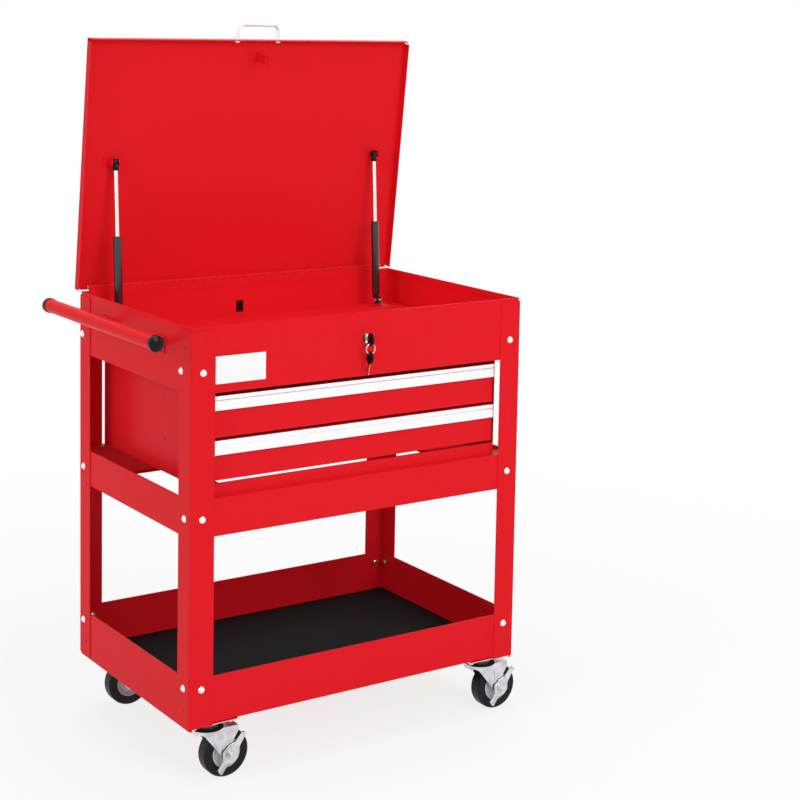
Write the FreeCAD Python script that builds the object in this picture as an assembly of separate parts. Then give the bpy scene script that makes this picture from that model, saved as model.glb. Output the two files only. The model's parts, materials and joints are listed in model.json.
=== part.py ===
"""Steel service cart: lidded top box, two drawers, open middle frame, bottom tray, swivel casters.

Cart axes while modelling, in millimetres: the origin is the outer corner of the front left post at
floor level, X runs right, Y runs back and Z runs up. The finished pieces are shifted together so
that the origin is the middle of the footprint of the bounding box. The lid stands open.
"""
import FreeCAD, Part
import math
import os

from FreeCAD import Vector

# Overall size
WIDTH = 800.0
DEPTH = 520.0
POST_BOTTOM = 125.0
POST_TOP = 917.0
RIM_HEIGHT = 924.0

# Sheet metal
POST_SHEET = 2.0
SHEET = 1.2
POST_FLANGE = 52.5
POST_BEND = 5.0
HEM = 12.0

# Levels
BOX_BOTTOM = 792.0
BOX_FLOOR = 843.0
FRAME_BOTTOM = 507.0
FRAME_TOP = 583.0
TRAY_FLOOR = 130.0
TRAY_FRONT_TOP = 225.0
TRAY_SIDE_BOTTOM = 120.0
TRAY_SIDE_TOP = 222.5
MAT_THICKNESS = 3.0

# Frame bolts
BOLT_LEVELS = (834.0, 544.0, 202.0)
BOLT_INSET = 27.0
BOLT_INSET_REAR_SIDE = 21.0
BOLT_INSET_TOP_SIDE = 44.0
BOLT_INSET_TOP_REAR = 15.0
BOLT_RADIUS = 4.0
BOLT_HOLE = 4.2
BOLT_HEAD_RADIUS = 7.5
BOLT_HEAD_HEIGHT = 4.5
NUT_FLATS = 13.0
NUT_HEIGHT = 6.5
DIMPLE_LEVELS = (880.0, 505.0, 155.0)
DIMPLE_INSET = 31.0

# Drawer housing, drawers and slides
HOUSING_LEFT = 54.0
HOUSING_FRONT = 18.0
HOUSING_REAR = 509.0
HOUSING_BOTTOM = 587.0
HOUSING_FLANGE = 11.0
SHELF_LEVEL = 596.5
SHELF_RIGHT = 93.0
RAIL_TOP = 607.5
RAIL_DEPTH = 5.0
DRAWER_FACE = 16.5
DRAWER_EDGE = 60.0
DRAWER_LEFT = 67.9
DRAWER_REAR = 486.0
DRAWERS = {"upper": (699.0, 783.0, 746.0), "lower": (614.0, 694.0, 656.0)}
DRAWER_TRAVEL = 340.0
PULL_HEIGHT = 29.0
PULL_FRONT = 11.0
PULL_LEFT = 58.5
SLIDE_FRONT = 32.0
SLIDE_REAR = 482.0
SLIDE_HALF = 21.0
SLIDE_SHEET = 1.2
SLIDE_SCREW_YS = (217.0, 417.0)
RIVET_HEAD = 3.2

# Lid and piano hinge
HINGE_Y = 521.8
HINGE_Z = 931.0
HINGE_LEFT = 21.0
HINGE_PITCH = 26.0
HINGE_CYCLES = 29
HINGE_RADIUS = 3.8
HINGE_PIN = 2.0
HINGE_LEAF = 1.4
LID_OPEN = 83.0
LID_SIDE = 4.0
LID_LENGTH = 541.0
LID_TAIL = 5.0
LID_HEIGHT = 14.0
LID_LIP = 19.0
LID_REAR_LIP = 13.8
LID_NOTCH = 7.0

# Wire handle and latch
WIRE_RADIUS = 4.0
WIRE_SPAN = 103.0
WIRE_REACH = 33.5
WIRE_BEND = 14.0
KEY_BOW_WIDTH = 22.0
KEY_BOW_HEIGHT = 27.0
KEY_BOW_THICKNESS = 4.6
LOCK_X = 400.0
LOCK_Z = 870.0

# Gas struts
STRUT_X = 68.2
STRUT_FOOT_Y = 466.0
STRUT_FOOT_Z = 857.0
STRUT_HEAD_S = 275.0
STRUT_HEAD_OFF = -2.0
STRUT_TUBE_RADIUS = 9.0
STRUT_BORE_RADIUS = 7.6
STRUT_ROD_RADIUS = 4.75
STRUT_TUBE_END = 188.0
STRUT_PISTON = 162.0

# Side handle
TUBE_RADIUS = 14.3
TUBE_WALL = 1.5
TUBE_X = -80.0
TUBE_Z = 903.5
TUBE_START = -10.0
TUBE_END = 494.0
CAP_RADIUS = 15.8
CAP_SKIRT = 7.0
BRACKET_YS = (130.0, 390.0)
BRACKET_WIDTH = 28.0
BRACKET_SCREW_Z = 863.0

# Label plate and rear wall grommet
LABEL = (53.5, 165.0, 809.5, 864.0)
GROMMET_X = 392.0
GROMMET_Z = 862.5

# Casters
SWIVEL_X = 60.0
SWIVEL_Y = 39.0
TRAIL = 37.0
WHEEL_RADIUS = 50.0
WHEEL_WIDTH = 30.0
HUB_RADIUS = 31.0
HUB_BOSS = 20.6
AXLE_RADIUS = 4.0
AXLE_HOLE = 4.06
LEG_INNER = 21.0
LEG_SHEET = 2.5
LEG_CREASE = -18.5
LEG_FRONT = -68.0
LEG_REAR = 21.7
LEG_NARROWING = 8.0
BRAKE_GAP = 3.0
BRAKE_SHEET = 2.3
WASHER_RADIUS = 8.0
WASHER_HEIGHT = 1.6
KINGPIN_RADIUS = 6.0
KINGPIN_HOLE = 6.06

X_AXIS = Vector(1, 0, 0)
Y_AXIS = Vector(0, 1, 0)
Z_AXIS = Vector(0, 0, 1)


def box(x0, y0, z0, x1, y1, z1):
    """Return a box between two opposite corners."""
    return Part.makeBox(x1 - x0, y1 - y0, z1 - z0, Vector(x0, y0, z0))


def rod(start, axis, radius, length):
    """Return a cylinder that leaves start along axis."""
    return Part.makeCylinder(radius, length, Vector(*start), axis)


def fuse(shapes):
    """Return the shapes joined, with the seams between coplanar faces removed."""
    joined = shapes[0]
    if len(shapes) > 1:
        joined = joined.multiFuse(shapes[1:])
    return joined.removeSplitter()


def cut(shape, tools):
    """Return the shape with all tools taken away."""
    return shape.cut(Part.makeCompound(tools))


def mirror_x(shape):
    """Return the shape mirrored to the other side of the cart."""
    return shape.mirror(Vector(WIDTH / 2, 0, 0), X_AXIS)


def mirror_y(shape):
    """Return the shape mirrored from front to rear."""
    return shape.mirror(Vector(0, DEPTH / 2, 0), Y_AXIS)


def lift(plane, u, v, base):
    """Return the point of a profile plane as a vector."""
    if plane == "XY":
        return Vector(u, v, base)
    if plane == "XZ":
        return Vector(u, base, v)
    return Vector(base, u, v)


def outline(points, plane, base):
    """Return a closed wire through (u, v) or (u, v, radius) points, rounded where a radius is given."""
    count = len(points)
    starts = []
    ends = []
    middles = []
    for index, point in enumerate(points):
        here = Vector(point[0], point[1], 0)
        radius = point[2] if len(point) > 2 else 0.0
        if radius <= 0:
            starts.append(here)
            ends.append(here)
            middles.append(None)
            continue
        before = points[index - 1]
        after = points[(index + 1) % count]
        back = (Vector(before[0], before[1], 0) - here).normalize()
        ahead = (Vector(after[0], after[1], 0) - here).normalize()
        half = back.getAngle(ahead) / 2
        reach = radius / math.tan(half)
        centre = here + (back + ahead).normalize() * (radius / math.sin(half))
        starts.append(here + back * reach)
        ends.append(here + ahead * reach)
        middles.append(centre + (here - centre).normalize() * radius)
    edges = []
    for index in range(count):
        following = (index + 1) % count
        if middles[index] is not None:
            arc_points = [lift(plane, p.x, p.y, base) for p in (starts[index], middles[index], ends[index])]
            edges.append(Part.Arc(*arc_points).toShape())
        first = lift(plane, ends[index].x, ends[index].y, base)
        second = lift(plane, starts[following].x, starts[following].y, base)
        if first.distanceToPoint(second) > 1e-6:
            edges.append(Part.makeLine(first, second))
    return Part.Wire(edges)


def prism(points, plane, base, length):
    """Return the profile in its plane at base, extruded along the plane's normal."""
    direction = {"XY": Z_AXIS, "XZ": Y_AXIS, "YZ": X_AXIS}[plane]
    return Part.Face(outline(points, plane, base)).extrude(direction * length)


def tube_wall(x0, y0, x1, y1, z0, z1, radius, sheet):
    """Return an upright rectangular sheet wall with rounded corners."""
    corners = ((x0, y0), (x1, y0), (x1, y1), (x0, y1))
    outer = [(x, y, radius) for x, y in corners]
    inner_corners = (
        (x0 + sheet, y0 + sheet),
        (x1 - sheet, y0 + sheet),
        (x1 - sheet, y1 - sheet),
        (x0 + sheet, y1 - sheet),
    )
    inner = [(x, y, radius - sheet) for x, y in inner_corners]
    solid = prism(outer, "XY", z0, z1 - z0)
    return solid.cut(prism(inner, "XY", z0 - 1, z1 - z0 + 2))


def hexagon(centre, axis, flats, height):
    """Return a hexagonal prism that leaves centre along axis."""
    radius = flats / math.sqrt(3)
    points = []
    for index in range(7):
        angle = math.radians(60 * index)
        points.append(Vector(radius * math.cos(angle), radius * math.sin(angle), 0))
    solid = Part.Face(Part.makePolygon(points)).extrude(Vector(0, 0, height))
    solid.Placement = FreeCAD.Placement(Vector(*centre), FreeCAD.Rotation(Z_AXIS, axis))
    return solid


def dome(centre, axis, radius, height):
    """Return a low spherical cap that stands on centre along axis."""
    sphere_radius = (radius * radius + height * height) / (2 * height)
    middle = Vector(*centre) + axis * (height - sphere_radius)
    ball = Part.makeSphere(sphere_radius, middle)
    return ball.common(Part.makeCylinder(radius + 1, height + 1, Vector(*centre), axis))


def bolt_places():
    """Return (outer point, outward axis) of every frame bolt."""
    places = []
    for level in BOLT_LEVELS:
        side_front = BOLT_INSET if level < BOX_BOTTOM else BOLT_INSET_TOP_SIDE
        side_rear = BOLT_INSET_REAR_SIDE if level < BOX_BOTTOM else BOLT_INSET_TOP_REAR
        for x in (BOLT_INSET, WIDTH - BOLT_INSET):
            places.append(((x, 0.0, level), Vector(0, -1, 0)))
            places.append(((x, DEPTH, level), Vector(0, 1, 0)))
        for y in (side_front, DEPTH - side_rear):
            places.append(((0.0, y, level), Vector(-1, 0, 0)))
            places.append(((WIDTH, y, level), Vector(1, 0, 0)))
    return places


def bolt_holes():
    """Return the clearance holes of all frame bolts."""
    holes = []
    for point, outward in bolt_places():
        start = Vector(*point) + outward * 3
        holes.append(Part.makeCylinder(BOLT_HOLE, 10, start, outward * -1))
    return holes


def corner_posts():
    """Return four angle posts with a rounded bend and one oval dimple on each flange and level."""
    flange = POST_FLANGE
    profile = [
        (0, 0, POST_BEND),
        (flange, 0, 0.8),
        (flange, POST_SHEET),
        (POST_SHEET, POST_SHEET, POST_BEND - POST_SHEET),
        (POST_SHEET, flange),
        (0, flange, 0.8),
    ]
    post = prism(profile, "XY", POST_BOTTOM, POST_TOP - POST_BOTTOM)
    bumps = []
    for level in DIMPLE_LEVELS:
        oval = Part.makeSphere(1.0)
        stretch = FreeCAD.Matrix()
        stretch.scale(9.0, 1.4, 4.0)
        front = oval.transformGeometry(stretch)
        front.translate(Vector(DIMPLE_INSET, 0.2, level))
        turned = FreeCAD.Matrix()
        turned.scale(1.4, 9.0, 4.0)
        side = oval.transformGeometry(turned)
        side.translate(Vector(0.2, DIMPLE_INSET, level))
        bumps += [front, side]
    post = post.multiFuse(bumps)
    posts = [post, mirror_x(post)]
    posts += [mirror_y(shape) for shape in posts]
    holes = bolt_holes()
    return Part.makeCompound([cut(shape, holes) for shape in posts])


def hem(x0, y0, x1, y1, top, radius):
    """Return the folded edge inside the top of a rectangular wall."""
    return tube_wall(x0, y0, x1, y1, top - HEM, top, radius, SHEET)


def top_box():
    """Return the top box: walls, folded rim, raised floor and turned-in bottom edge."""
    x0 = POST_SHEET
    x1 = WIDTH - POST_SHEET
    y0 = POST_SHEET
    y1 = DEPTH - POST_SHEET
    walls = tube_wall(x0, y0, x1, y1, BOX_BOTTOM, RIM_HEIGHT, 4.5, SHEET)
    inset = SHEET
    rim = hem(x0 + inset, y0 + inset, x1 - inset, y1 - inset, RIM_HEIGHT, 3.3)
    corners = ((x0 + 0.6, y0 + 0.6), (x1 - 0.6, y0 + 0.6), (x1 - 0.6, y1 - 0.6), (x0 + 0.6, y1 - 0.6))
    floor = prism([(x, y, 3.9) for x, y in corners], "XY", BOX_FLOOR, SHEET)
    edge = prism([(x, y, 3.9) for x, y in corners], "XY", BOX_BOTTOM, SHEET)
    edge = edge.cut(box(x0 + 12, y0 + 12, BOX_BOTTOM - 1, x1 - 12, y1 - 7, BOX_BOTTOM + 3))
    shell = fuse([walls, rim, floor, edge])
    holes = bolt_holes()
    holes.append(rod((LOCK_X, -5, LOCK_Z), Y_AXIS, 8.1, 12))
    holes.append(box(GROMMET_X - 7, y1 - 4, GROMMET_Z - 11, GROMMET_X + 7, y1 + 2, GROMMET_Z + 11))
    for y in BRACKET_YS:
        holes.append(rod((-2, y, BRACKET_SCREW_Z), X_AXIS, 3.1, 8))
    return cut(shell, holes)


def middle_frame():
    """Return the open ring of four aprons with turned-in top edges that carry the drawer housing."""
    x0 = POST_SHEET
    x1 = WIDTH - POST_SHEET
    y0 = POST_SHEET
    y1 = DEPTH - POST_SHEET
    ring = tube_wall(x0, y0, x1, y1, FRAME_BOTTOM, FRAME_TOP, 4.5, SHEET)
    corners = ((x0 + 0.6, y0 + 0.6), (x1 - 0.6, y0 + 0.6), (x1 - 0.6, y1 - 0.6), (x0 + 0.6, y1 - 0.6))
    top = prism([(x, y, 3.9) for x, y in corners], "XY", FRAME_TOP - SHEET, SHEET)
    top = top.cut(box(x0 + 4, y0 + 36, FRAME_TOP - 5, x1 - 4, y1 - 20, FRAME_TOP + 5))
    low = prism([(x, y, 3.9) for x, y in corners], "XY", FRAME_BOTTOM, SHEET)
    low = low.cut(box(x0 + 10, y0 + 10, FRAME_BOTTOM - 5, x1 - 10, y1 - 10, FRAME_BOTTOM + 5))
    return cut(fuse([ring, top, low]), bolt_holes())


def bottom_tray():
    """Return the bottom tray: floor, front and rear aprons, and deeper side aprons."""
    x0 = POST_SHEET
    x1 = WIDTH - POST_SHEET
    y0 = POST_SHEET
    y1 = DEPTH - POST_SHEET
    wall = tube_wall(x0, y0, x1, y1, TRAY_SIDE_BOTTOM, TRAY_FRONT_TOP, 4.5, SHEET)
    spare = [
        box(x0 + 6, y0 - 1, TRAY_SIDE_BOTTOM - 1, x1 - 6, y1 + 1, TRAY_FLOOR),
        box(x0 - 1, y0 + 6, TRAY_SIDE_TOP, x1 + 1, y1 - 6, TRAY_FRONT_TOP + 1),
    ]
    wall = cut(wall, spare)
    corners = ((x0 + 0.6, y0 + 0.6), (x1 - 0.6, y0 + 0.6), (x1 - 0.6, y1 - 0.6), (x0 + 0.6, y1 - 0.6))
    floor = prism([(x, y, 3.9) for x, y in corners], "XY", TRAY_FLOOR, SHEET)
    inner = SHEET * 2
    hems = [
        box(x0 + 8, y0 + 0.6, TRAY_FRONT_TOP - HEM, x1 - 8, y0 + inner, TRAY_FRONT_TOP),
        box(x0 + 8, y1 - inner, TRAY_FRONT_TOP - HEM, x1 - 8, y1 - 0.6, TRAY_FRONT_TOP),
        box(x0 + 0.6, y0 + 8, TRAY_SIDE_TOP - HEM, x0 + inner, y1 - 8, TRAY_SIDE_TOP),
        box(x1 - inner, y0 + 8, TRAY_SIDE_TOP - HEM, x1 - 0.6, y1 - 8, TRAY_SIDE_TOP),
    ]
    return cut(fuse([wall, floor] + hems), bolt_holes())


def tray_mat():
    """Return the ribbed rubber mat on the bottom tray's floor."""
    gap = POST_SHEET + SHEET + 0.6
    corners = ((gap, gap), (WIDTH - gap, gap), (WIDTH - gap, DEPTH - gap), (gap, DEPTH - gap))
    base = TRAY_FLOOR + SHEET
    return prism([(x, y, 4.0) for x, y in corners], "XY", base, MAT_THICKNESS)


def caster_channels():
    """Return the two shallow channels under the floor that the casters bolt to."""
    left = 9.0
    right = 111.0
    profile = [
        (left, TRAY_FLOOR),
        (left, 125, 1.5),
        (right, 125, 1.5),
        (right, TRAY_FLOOR),
        (right - 2, TRAY_FLOOR),
        (right - 2, 127),
        (left + 2, 127),
        (left + 2, TRAY_FLOOR),
    ]
    channel = prism(profile, "XZ", 5.0, DEPTH - 10.0)
    channel = cut(channel, [rod((x, y, 120), Z_AXIS, 3.15, 9) for x, y in caster_bolt_points()])
    return Part.makeCompound([channel, mirror_x(channel)])


def caster_bolt_points():
    """Return the bolt points of the two casters on the left."""
    points = []
    for y_axis in (SWIVEL_Y, DEPTH - SWIVEL_Y):
        for dx in (-40.0, 40.0):
            for dy in (-22.0, 22.0):
                points.append((SWIVEL_X + dx, y_axis + dy))
    return points


def drawer_housing():
    """Return the housing: sides with turned-in shelves, a rear panel and a front bottom rail."""
    x0 = HOUSING_LEFT
    x1 = WIDTH - HOUSING_LEFT
    top = BOX_FLOOR
    front = HOUSING_FRONT
    side = box(x0, front, HOUSING_BOTTOM, x0 + SHEET, HOUSING_REAR, top)
    shelf = box(x0, front, SHELF_LEVEL - SHEET, SHELF_RIGHT, HOUSING_REAR, SHELF_LEVEL)
    head = box(x0, front, top - SHEET, x0 + HOUSING_FLANGE, HOUSING_REAR, top)
    holes = []
    for _, _, centre in DRAWERS.values():
        for y in SLIDE_SCREW_YS:
            holes.append(rod((x0 - 5, y, centre), X_AXIS, 2.1, 10))
    left = cut(fuse([side, shelf, head]), holes)
    rear = box(x0, HOUSING_REAR - SHEET, FRAME_TOP, x1, HOUSING_REAR, top)
    rail_front = box(x0, front, FRAME_TOP, x1, front + SHEET, RAIL_TOP)
    rail_top = box(x0, front, RAIL_TOP - SHEET, x1, front + RAIL_DEPTH, RAIL_TOP)
    return fuse([left, mirror_x(left), rear, rail_front, rail_top])


def drawer(kind):
    """Return one drawer: folded tray with a flat front that hides the slides."""
    low, high, _ = DRAWERS[kind]
    x0 = DRAWER_LEFT
    x1 = WIDTH - DRAWER_LEFT
    y0 = HOUSING_FRONT - SHEET
    floor_z = low + 8
    top = high - 2
    front = box(DRAWER_EDGE, DRAWER_FACE, low, WIDTH - DRAWER_EDGE, y0 + 0.9, high)
    floor = box(x0, y0, floor_z, x1, DRAWER_REAR, floor_z + SHEET)
    side = box(x0, y0, floor_z, x0 + SHEET, DRAWER_REAR, top)
    hem_side = box(x0, y0, top - 8, x0 + SHEET * 2, DRAWER_REAR, top)
    rear = box(x0, DRAWER_REAR - SHEET, floor_z, x1, DRAWER_REAR, top)
    top_return = box(DRAWER_EDGE, y0 - 0.2, high - SHEET, WIDTH - DRAWER_EDGE, y0 + 12, high)
    return fuse([front, floor, side, mirror_x(side), hem_side, mirror_x(hem_side), rear, top_return])


def drawer_pull(kind):
    """Return the ridged aluminium pull strip along the top of a drawer front."""
    high = DRAWERS[kind][1]
    low = high - PULL_HEIGHT
    back = DRAWER_FACE
    ridge = high - 9.5
    profile = [
        (back, high),
        (PULL_FRONT + 0.4, high, 1.2),
        (PULL_FRONT + 0.4, ridge + 1.6),
        (PULL_FRONT - 0.9, ridge + 0.6),
        (PULL_FRONT - 0.9, ridge - 0.6),
        (PULL_FRONT + 0.4, ridge - 1.6),
        (PULL_FRONT, low + 3.0),
        (PULL_FRONT, low, 1.0),
        (PULL_FRONT + 2.6, low, 1.0),
        (PULL_FRONT + 2.6, high - 14.0, 1.0),
        (back, high - 14.0),
    ]
    return prism(profile, "YZ", PULL_LEFT, WIDTH - 2 * PULL_LEFT)


def slide_outer_members():
    """Return the four outer slide channels, fixed to the housing sides."""
    x0 = HOUSING_LEFT + SHEET
    shapes = []
    for _, _, centre in DRAWERS.values():
        profile = [
            (x0, centre - SLIDE_HALF),
            (x0 + 9.5, centre - SLIDE_HALF),
            (x0 + 9.5, centre - SLIDE_HALF + SLIDE_SHEET),
            (x0 + SLIDE_SHEET, centre - SLIDE_HALF + SLIDE_SHEET),
            (x0 + SLIDE_SHEET, centre + SLIDE_HALF - SLIDE_SHEET),
            (x0 + 9.5, centre + SLIDE_HALF - SLIDE_SHEET),
            (x0 + 9.5, centre + SLIDE_HALF),
            (x0, centre + SLIDE_HALF),
        ]
        left = prism(profile, "XZ", SLIDE_FRONT, SLIDE_REAR - SLIDE_FRONT)
        left = cut(left, [rod((x0 - 5, y, centre), X_AXIS, 2.1, 10) for y in SLIDE_SCREW_YS])
        shapes += [left, mirror_x(left)]
    return Part.makeCompound(shapes)


def slide_inner_members(kind):
    """Return the two inner slide channels of a drawer, which run inside the outer ones."""
    centre = DRAWERS[kind][2]
    x1 = DRAWER_LEFT
    half = SLIDE_HALF - SLIDE_SHEET - 0.4
    profile = [
        (x1, centre - half),
        (x1, centre + half),
        (x1 - 8.5, centre + half),
        (x1 - 8.5, centre + half - SLIDE_SHEET),
        (x1 - SLIDE_SHEET, centre + half - SLIDE_SHEET),
        (x1 - SLIDE_SHEET, centre - half + SLIDE_SHEET),
        (x1 - 8.5, centre - half + SLIDE_SHEET),
        (x1 - 8.5, centre - half),
    ]
    left = prism(profile, "XZ", SLIDE_FRONT, SLIDE_REAR - SLIDE_FRONT)
    return Part.makeCompound([left, mirror_x(left)])


def slide_rivets():
    """Return the pan-headed rivets that hold the outer slide channels to the housing."""
    shapes = []
    for _, _, centre in DRAWERS.values():
        for y in SLIDE_SCREW_YS:
            start = (HOUSING_LEFT, y, centre)
            head = dome(start, Vector(-1, 0, 0), RIVET_HEAD, 1.2)
            shank = rod(start, X_AXIS, 2.0, SHEET + SLIDE_SHEET)
            tail_start = (HOUSING_LEFT + SHEET + SLIDE_SHEET, y, centre)
            tail = rod(tail_start, X_AXIS, 3.2, 0.8)
            rivet = fuse([head, shank, tail])
            shapes += [rivet, mirror_x(rivet)]
    return Part.makeCompound(shapes)


def side_handle_tube():
    """Return the push handle's tube along the left side."""
    length = TUBE_END - TUBE_START
    outer = rod((TUBE_X, TUBE_START, TUBE_Z), Y_AXIS, TUBE_RADIUS, length)
    inner = rod((TUBE_X, TUBE_START - 1, TUBE_Z), Y_AXIS, TUBE_RADIUS - TUBE_WALL, length + 2)
    return outer.cut(inner)


def handle_end_caps():
    """Return the two domed caps pushed over the handle tube's ends."""
    face = (TUBE_X, TUBE_START - 2.0, TUBE_Z)
    cup = rod(face, Y_AXIS, CAP_RADIUS, CAP_SKIRT + 2.0)
    socket = rod((TUBE_X, TUBE_START, TUBE_Z), Y_AXIS, TUBE_RADIUS + 0.02, CAP_SKIRT + 1)
    cap = fuse([cup.cut(socket), dome(face, Vector(0, -1, 0), CAP_RADIUS, 4.5)])
    middle = Vector(TUBE_X, (TUBE_START + TUBE_END) / 2, TUBE_Z)
    other = cap.copy()
    other.rotate(middle, Z_AXIS, 180.0)
    return Part.makeCompound([cap, other])


def handle_brackets():
    """Return the two pressed straps that carry the handle tube from the box's side."""
    straps = []
    for y in BRACKET_YS:
        start = y - BRACKET_WIDTH / 2
        profile = [
            (POST_SHEET, 890),
            (POST_SHEET, 855),
            (-1.0, 855),
            (-1.0, 872, 3.0),
            (-72.0, 890.0, 2.0),
            (-72.0, 897.0),
            (-60.0, 893.5, 2.0),
            (-1.0, 878.5, 2.0),
            (-1.0, 890),
        ]
        strap = prism(profile, "XZ", start, BRACKET_WIDTH)
        strap = strap.cut(rod((TUBE_X, start - 1, TUBE_Z), Y_AXIS, TUBE_RADIUS, BRACKET_WIDTH + 2))
        straps.append(strap.cut(rod((-10, y, BRACKET_SCREW_Z), X_AXIS, 3.1, 20)))
    return Part.makeCompound(straps)


def handle_screws():
    """Return the bracket screws and their nuts inside the box wall's skirt."""
    shapes = []
    for y in BRACKET_YS:
        head = dome((-1.0, y, BRACKET_SCREW_Z), Vector(-1, 0, 0), 6.0, 3.2)
        shank = rod((-1.0, y, BRACKET_SCREW_Z), X_AXIS, 3.0, 12)
        nut = hexagon((POST_SHEET + SHEET, y, BRACKET_SCREW_Z), X_AXIS, 10.0, 5.0)
        nut = nut.cut(rod((0, y, BRACKET_SCREW_Z), X_AXIS, 3.05, 20))
        shapes += [fuse([head, shank]), nut]
    return Part.makeCompound(shapes)


def label_plate():
    """Return the bare name plate at the left of the box's front."""
    x0, x1, z0, z1 = LABEL
    corners = ((x0, z0), (x1, z0), (x1, z1), (x0, z1))
    return prism([(x, z, 1.0) for x, z in corners], "XZ", POST_SHEET - 0.8, 0.8)


def rear_grommet():
    """Return the black grommet in the rear wall's small slot, with a lip inside and outside."""
    y1 = DEPTH - POST_SHEET
    x0 = GROMMET_X - 7
    x1 = GROMMET_X + 7
    z0 = GROMMET_Z - 11
    z1 = GROMMET_Z + 11
    body = box(x0, y1 - SHEET, z0, x1, y1, z1)
    inside = box(x0 - 1.5, y1 - SHEET - 1.6, z0 - 1.5, x1 + 1.5, y1 - SHEET, z1 + 1.5)
    outside = box(x0 - 1.5, y1, z0 - 1.5, x1 + 1.5, y1 + 1.4, z1 + 1.5)
    return fuse([body, inside, outside])


def lid_place(shape):
    """Turn a shape modelled on the closed lid about the hinge, to stand open."""
    moved = shape.copy()
    moved.rotate(Vector(0, HINGE_Y, HINGE_Z), X_AXIS, -LID_OPEN)
    return moved


def lid_sy(distance):
    """Return the closed lid's Y at a distance from the hinge axis towards the front."""
    return HINGE_Y - distance


def lid_pan():
    """Return the lid: a flat sheet with turned-down lips, cut back at the corners."""
    x0 = -LID_SIDE
    x1 = WIDTH + LID_SIDE
    front = lid_sy(LID_LENGTH)
    rear = lid_sy(-LID_TAIL)
    top = HINGE_Z + LID_HEIGHT
    free = top - LID_LIP
    sheet = box(x0, front, top - SHEET, x1, rear, top)
    left = box(x0, front + LID_NOTCH, free, x0 + SHEET, rear, top)
    front_lip = box(x0 + 3, front, free, x1 - 3, front + SHEET, top)
    front_hem = box(x0 + 3, front, free, x1 - 3, front + SHEET * 2, free + 10)
    rear_lip = box(x0 + 8, rear - SHEET, top - LID_REAR_LIP, x1 - 8, rear, top)
    shell = fuse([sheet, left, mirror_x(left), front_lip, front_hem, rear_lip])
    legs = []
    for x in (LOCK_X - WIRE_SPAN / 2, LOCK_X + WIRE_SPAN / 2):
        legs.append(rod((x, front - 3, HINGE_Z + 4.5), Y_AXIS, WIRE_RADIUS + 0.1, 9))
    return lid_place(cut(shell, legs))


def hinge_spans(first):
    """Return the start of each knuckle on one leaf."""
    half = HINGE_PITCH / 2
    return [HINGE_LEFT + index * HINGE_PITCH + first * half for index in range(HINGE_CYCLES)]


def knuckle(start):
    """Return one hinge knuckle, bored for the pin."""
    length = HINGE_PITCH / 2 - 0.3
    outer = rod((start, HINGE_Y, HINGE_Z), X_AXIS, HINGE_RADIUS, length)
    bore = rod((start - 1, HINGE_Y, HINGE_Z), X_AXIS, HINGE_PIN + 0.05, length + 2)
    return outer.cut(bore)


def hinge_leaf_box():
    """Return the hinge leaf on the rear wall, with every first knuckle."""
    y0 = HINGE_Y - HINGE_RADIUS
    length = HINGE_PITCH / 2 - 0.3
    end = HINGE_LEFT + HINGE_PITCH * HINGE_CYCLES
    bore = rod((0, HINGE_Y, HINGE_Z), X_AXIS, HINGE_PIN + 0.05, WIDTH)
    pieces = [box(HINGE_LEFT, y0, POST_TOP + 0.5, end, y0 + HINGE_LEAF, HINGE_Z - HINGE_RADIUS - 0.5)]
    for start in hinge_spans(0):
        pieces.append(rod((start, HINGE_Y, HINGE_Z), X_AXIS, HINGE_RADIUS, length))
        pieces.append(box(start, y0, HINGE_Z - HINGE_RADIUS - 1, start + length, y0 + HINGE_LEAF, HINGE_Z))
    return fuse(pieces).cut(bore)


def hinge_leaf_lid():
    """Return the hinge leaf on the lid's rear lip, with every second knuckle."""
    y1 = HINGE_Y + HINGE_RADIUS
    length = HINGE_PITCH / 2 - 0.3
    end = HINGE_LEFT + HINGE_PITCH * HINGE_CYCLES
    bore = rod((0, HINGE_Y, HINGE_Z), X_AXIS, HINGE_PIN + 0.05, WIDTH)
    top = HINGE_Z + LID_HEIGHT - SHEET
    pieces = [box(HINGE_LEFT, y1 - HINGE_LEAF, HINGE_Z + HINGE_RADIUS + 0.5, end, y1, top)]
    for start in hinge_spans(1):
        pieces.append(rod((start, HINGE_Y, HINGE_Z), X_AXIS, HINGE_RADIUS, length))
        pieces.append(box(start, y1 - HINGE_LEAF, HINGE_Z, start + length, y1, HINGE_Z + HINGE_RADIUS + 1))
    return lid_place(fuse(pieces).cut(bore))


def hinge_pin():
    """Return the hinge's long pin, with a small flat head at each end."""
    end = HINGE_LEFT + HINGE_PITCH * HINGE_CYCLES
    pin = rod((HINGE_LEFT - 1.5, HINGE_Y, HINGE_Z), X_AXIS, HINGE_PIN, end - HINGE_LEFT + 3)
    heads = [rod((x, HINGE_Y, HINGE_Z), X_AXIS, 3.0, 1.2) for x in (HINGE_LEFT - 2.4, end + 0.9)]
    return fuse([pin] + heads)


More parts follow.
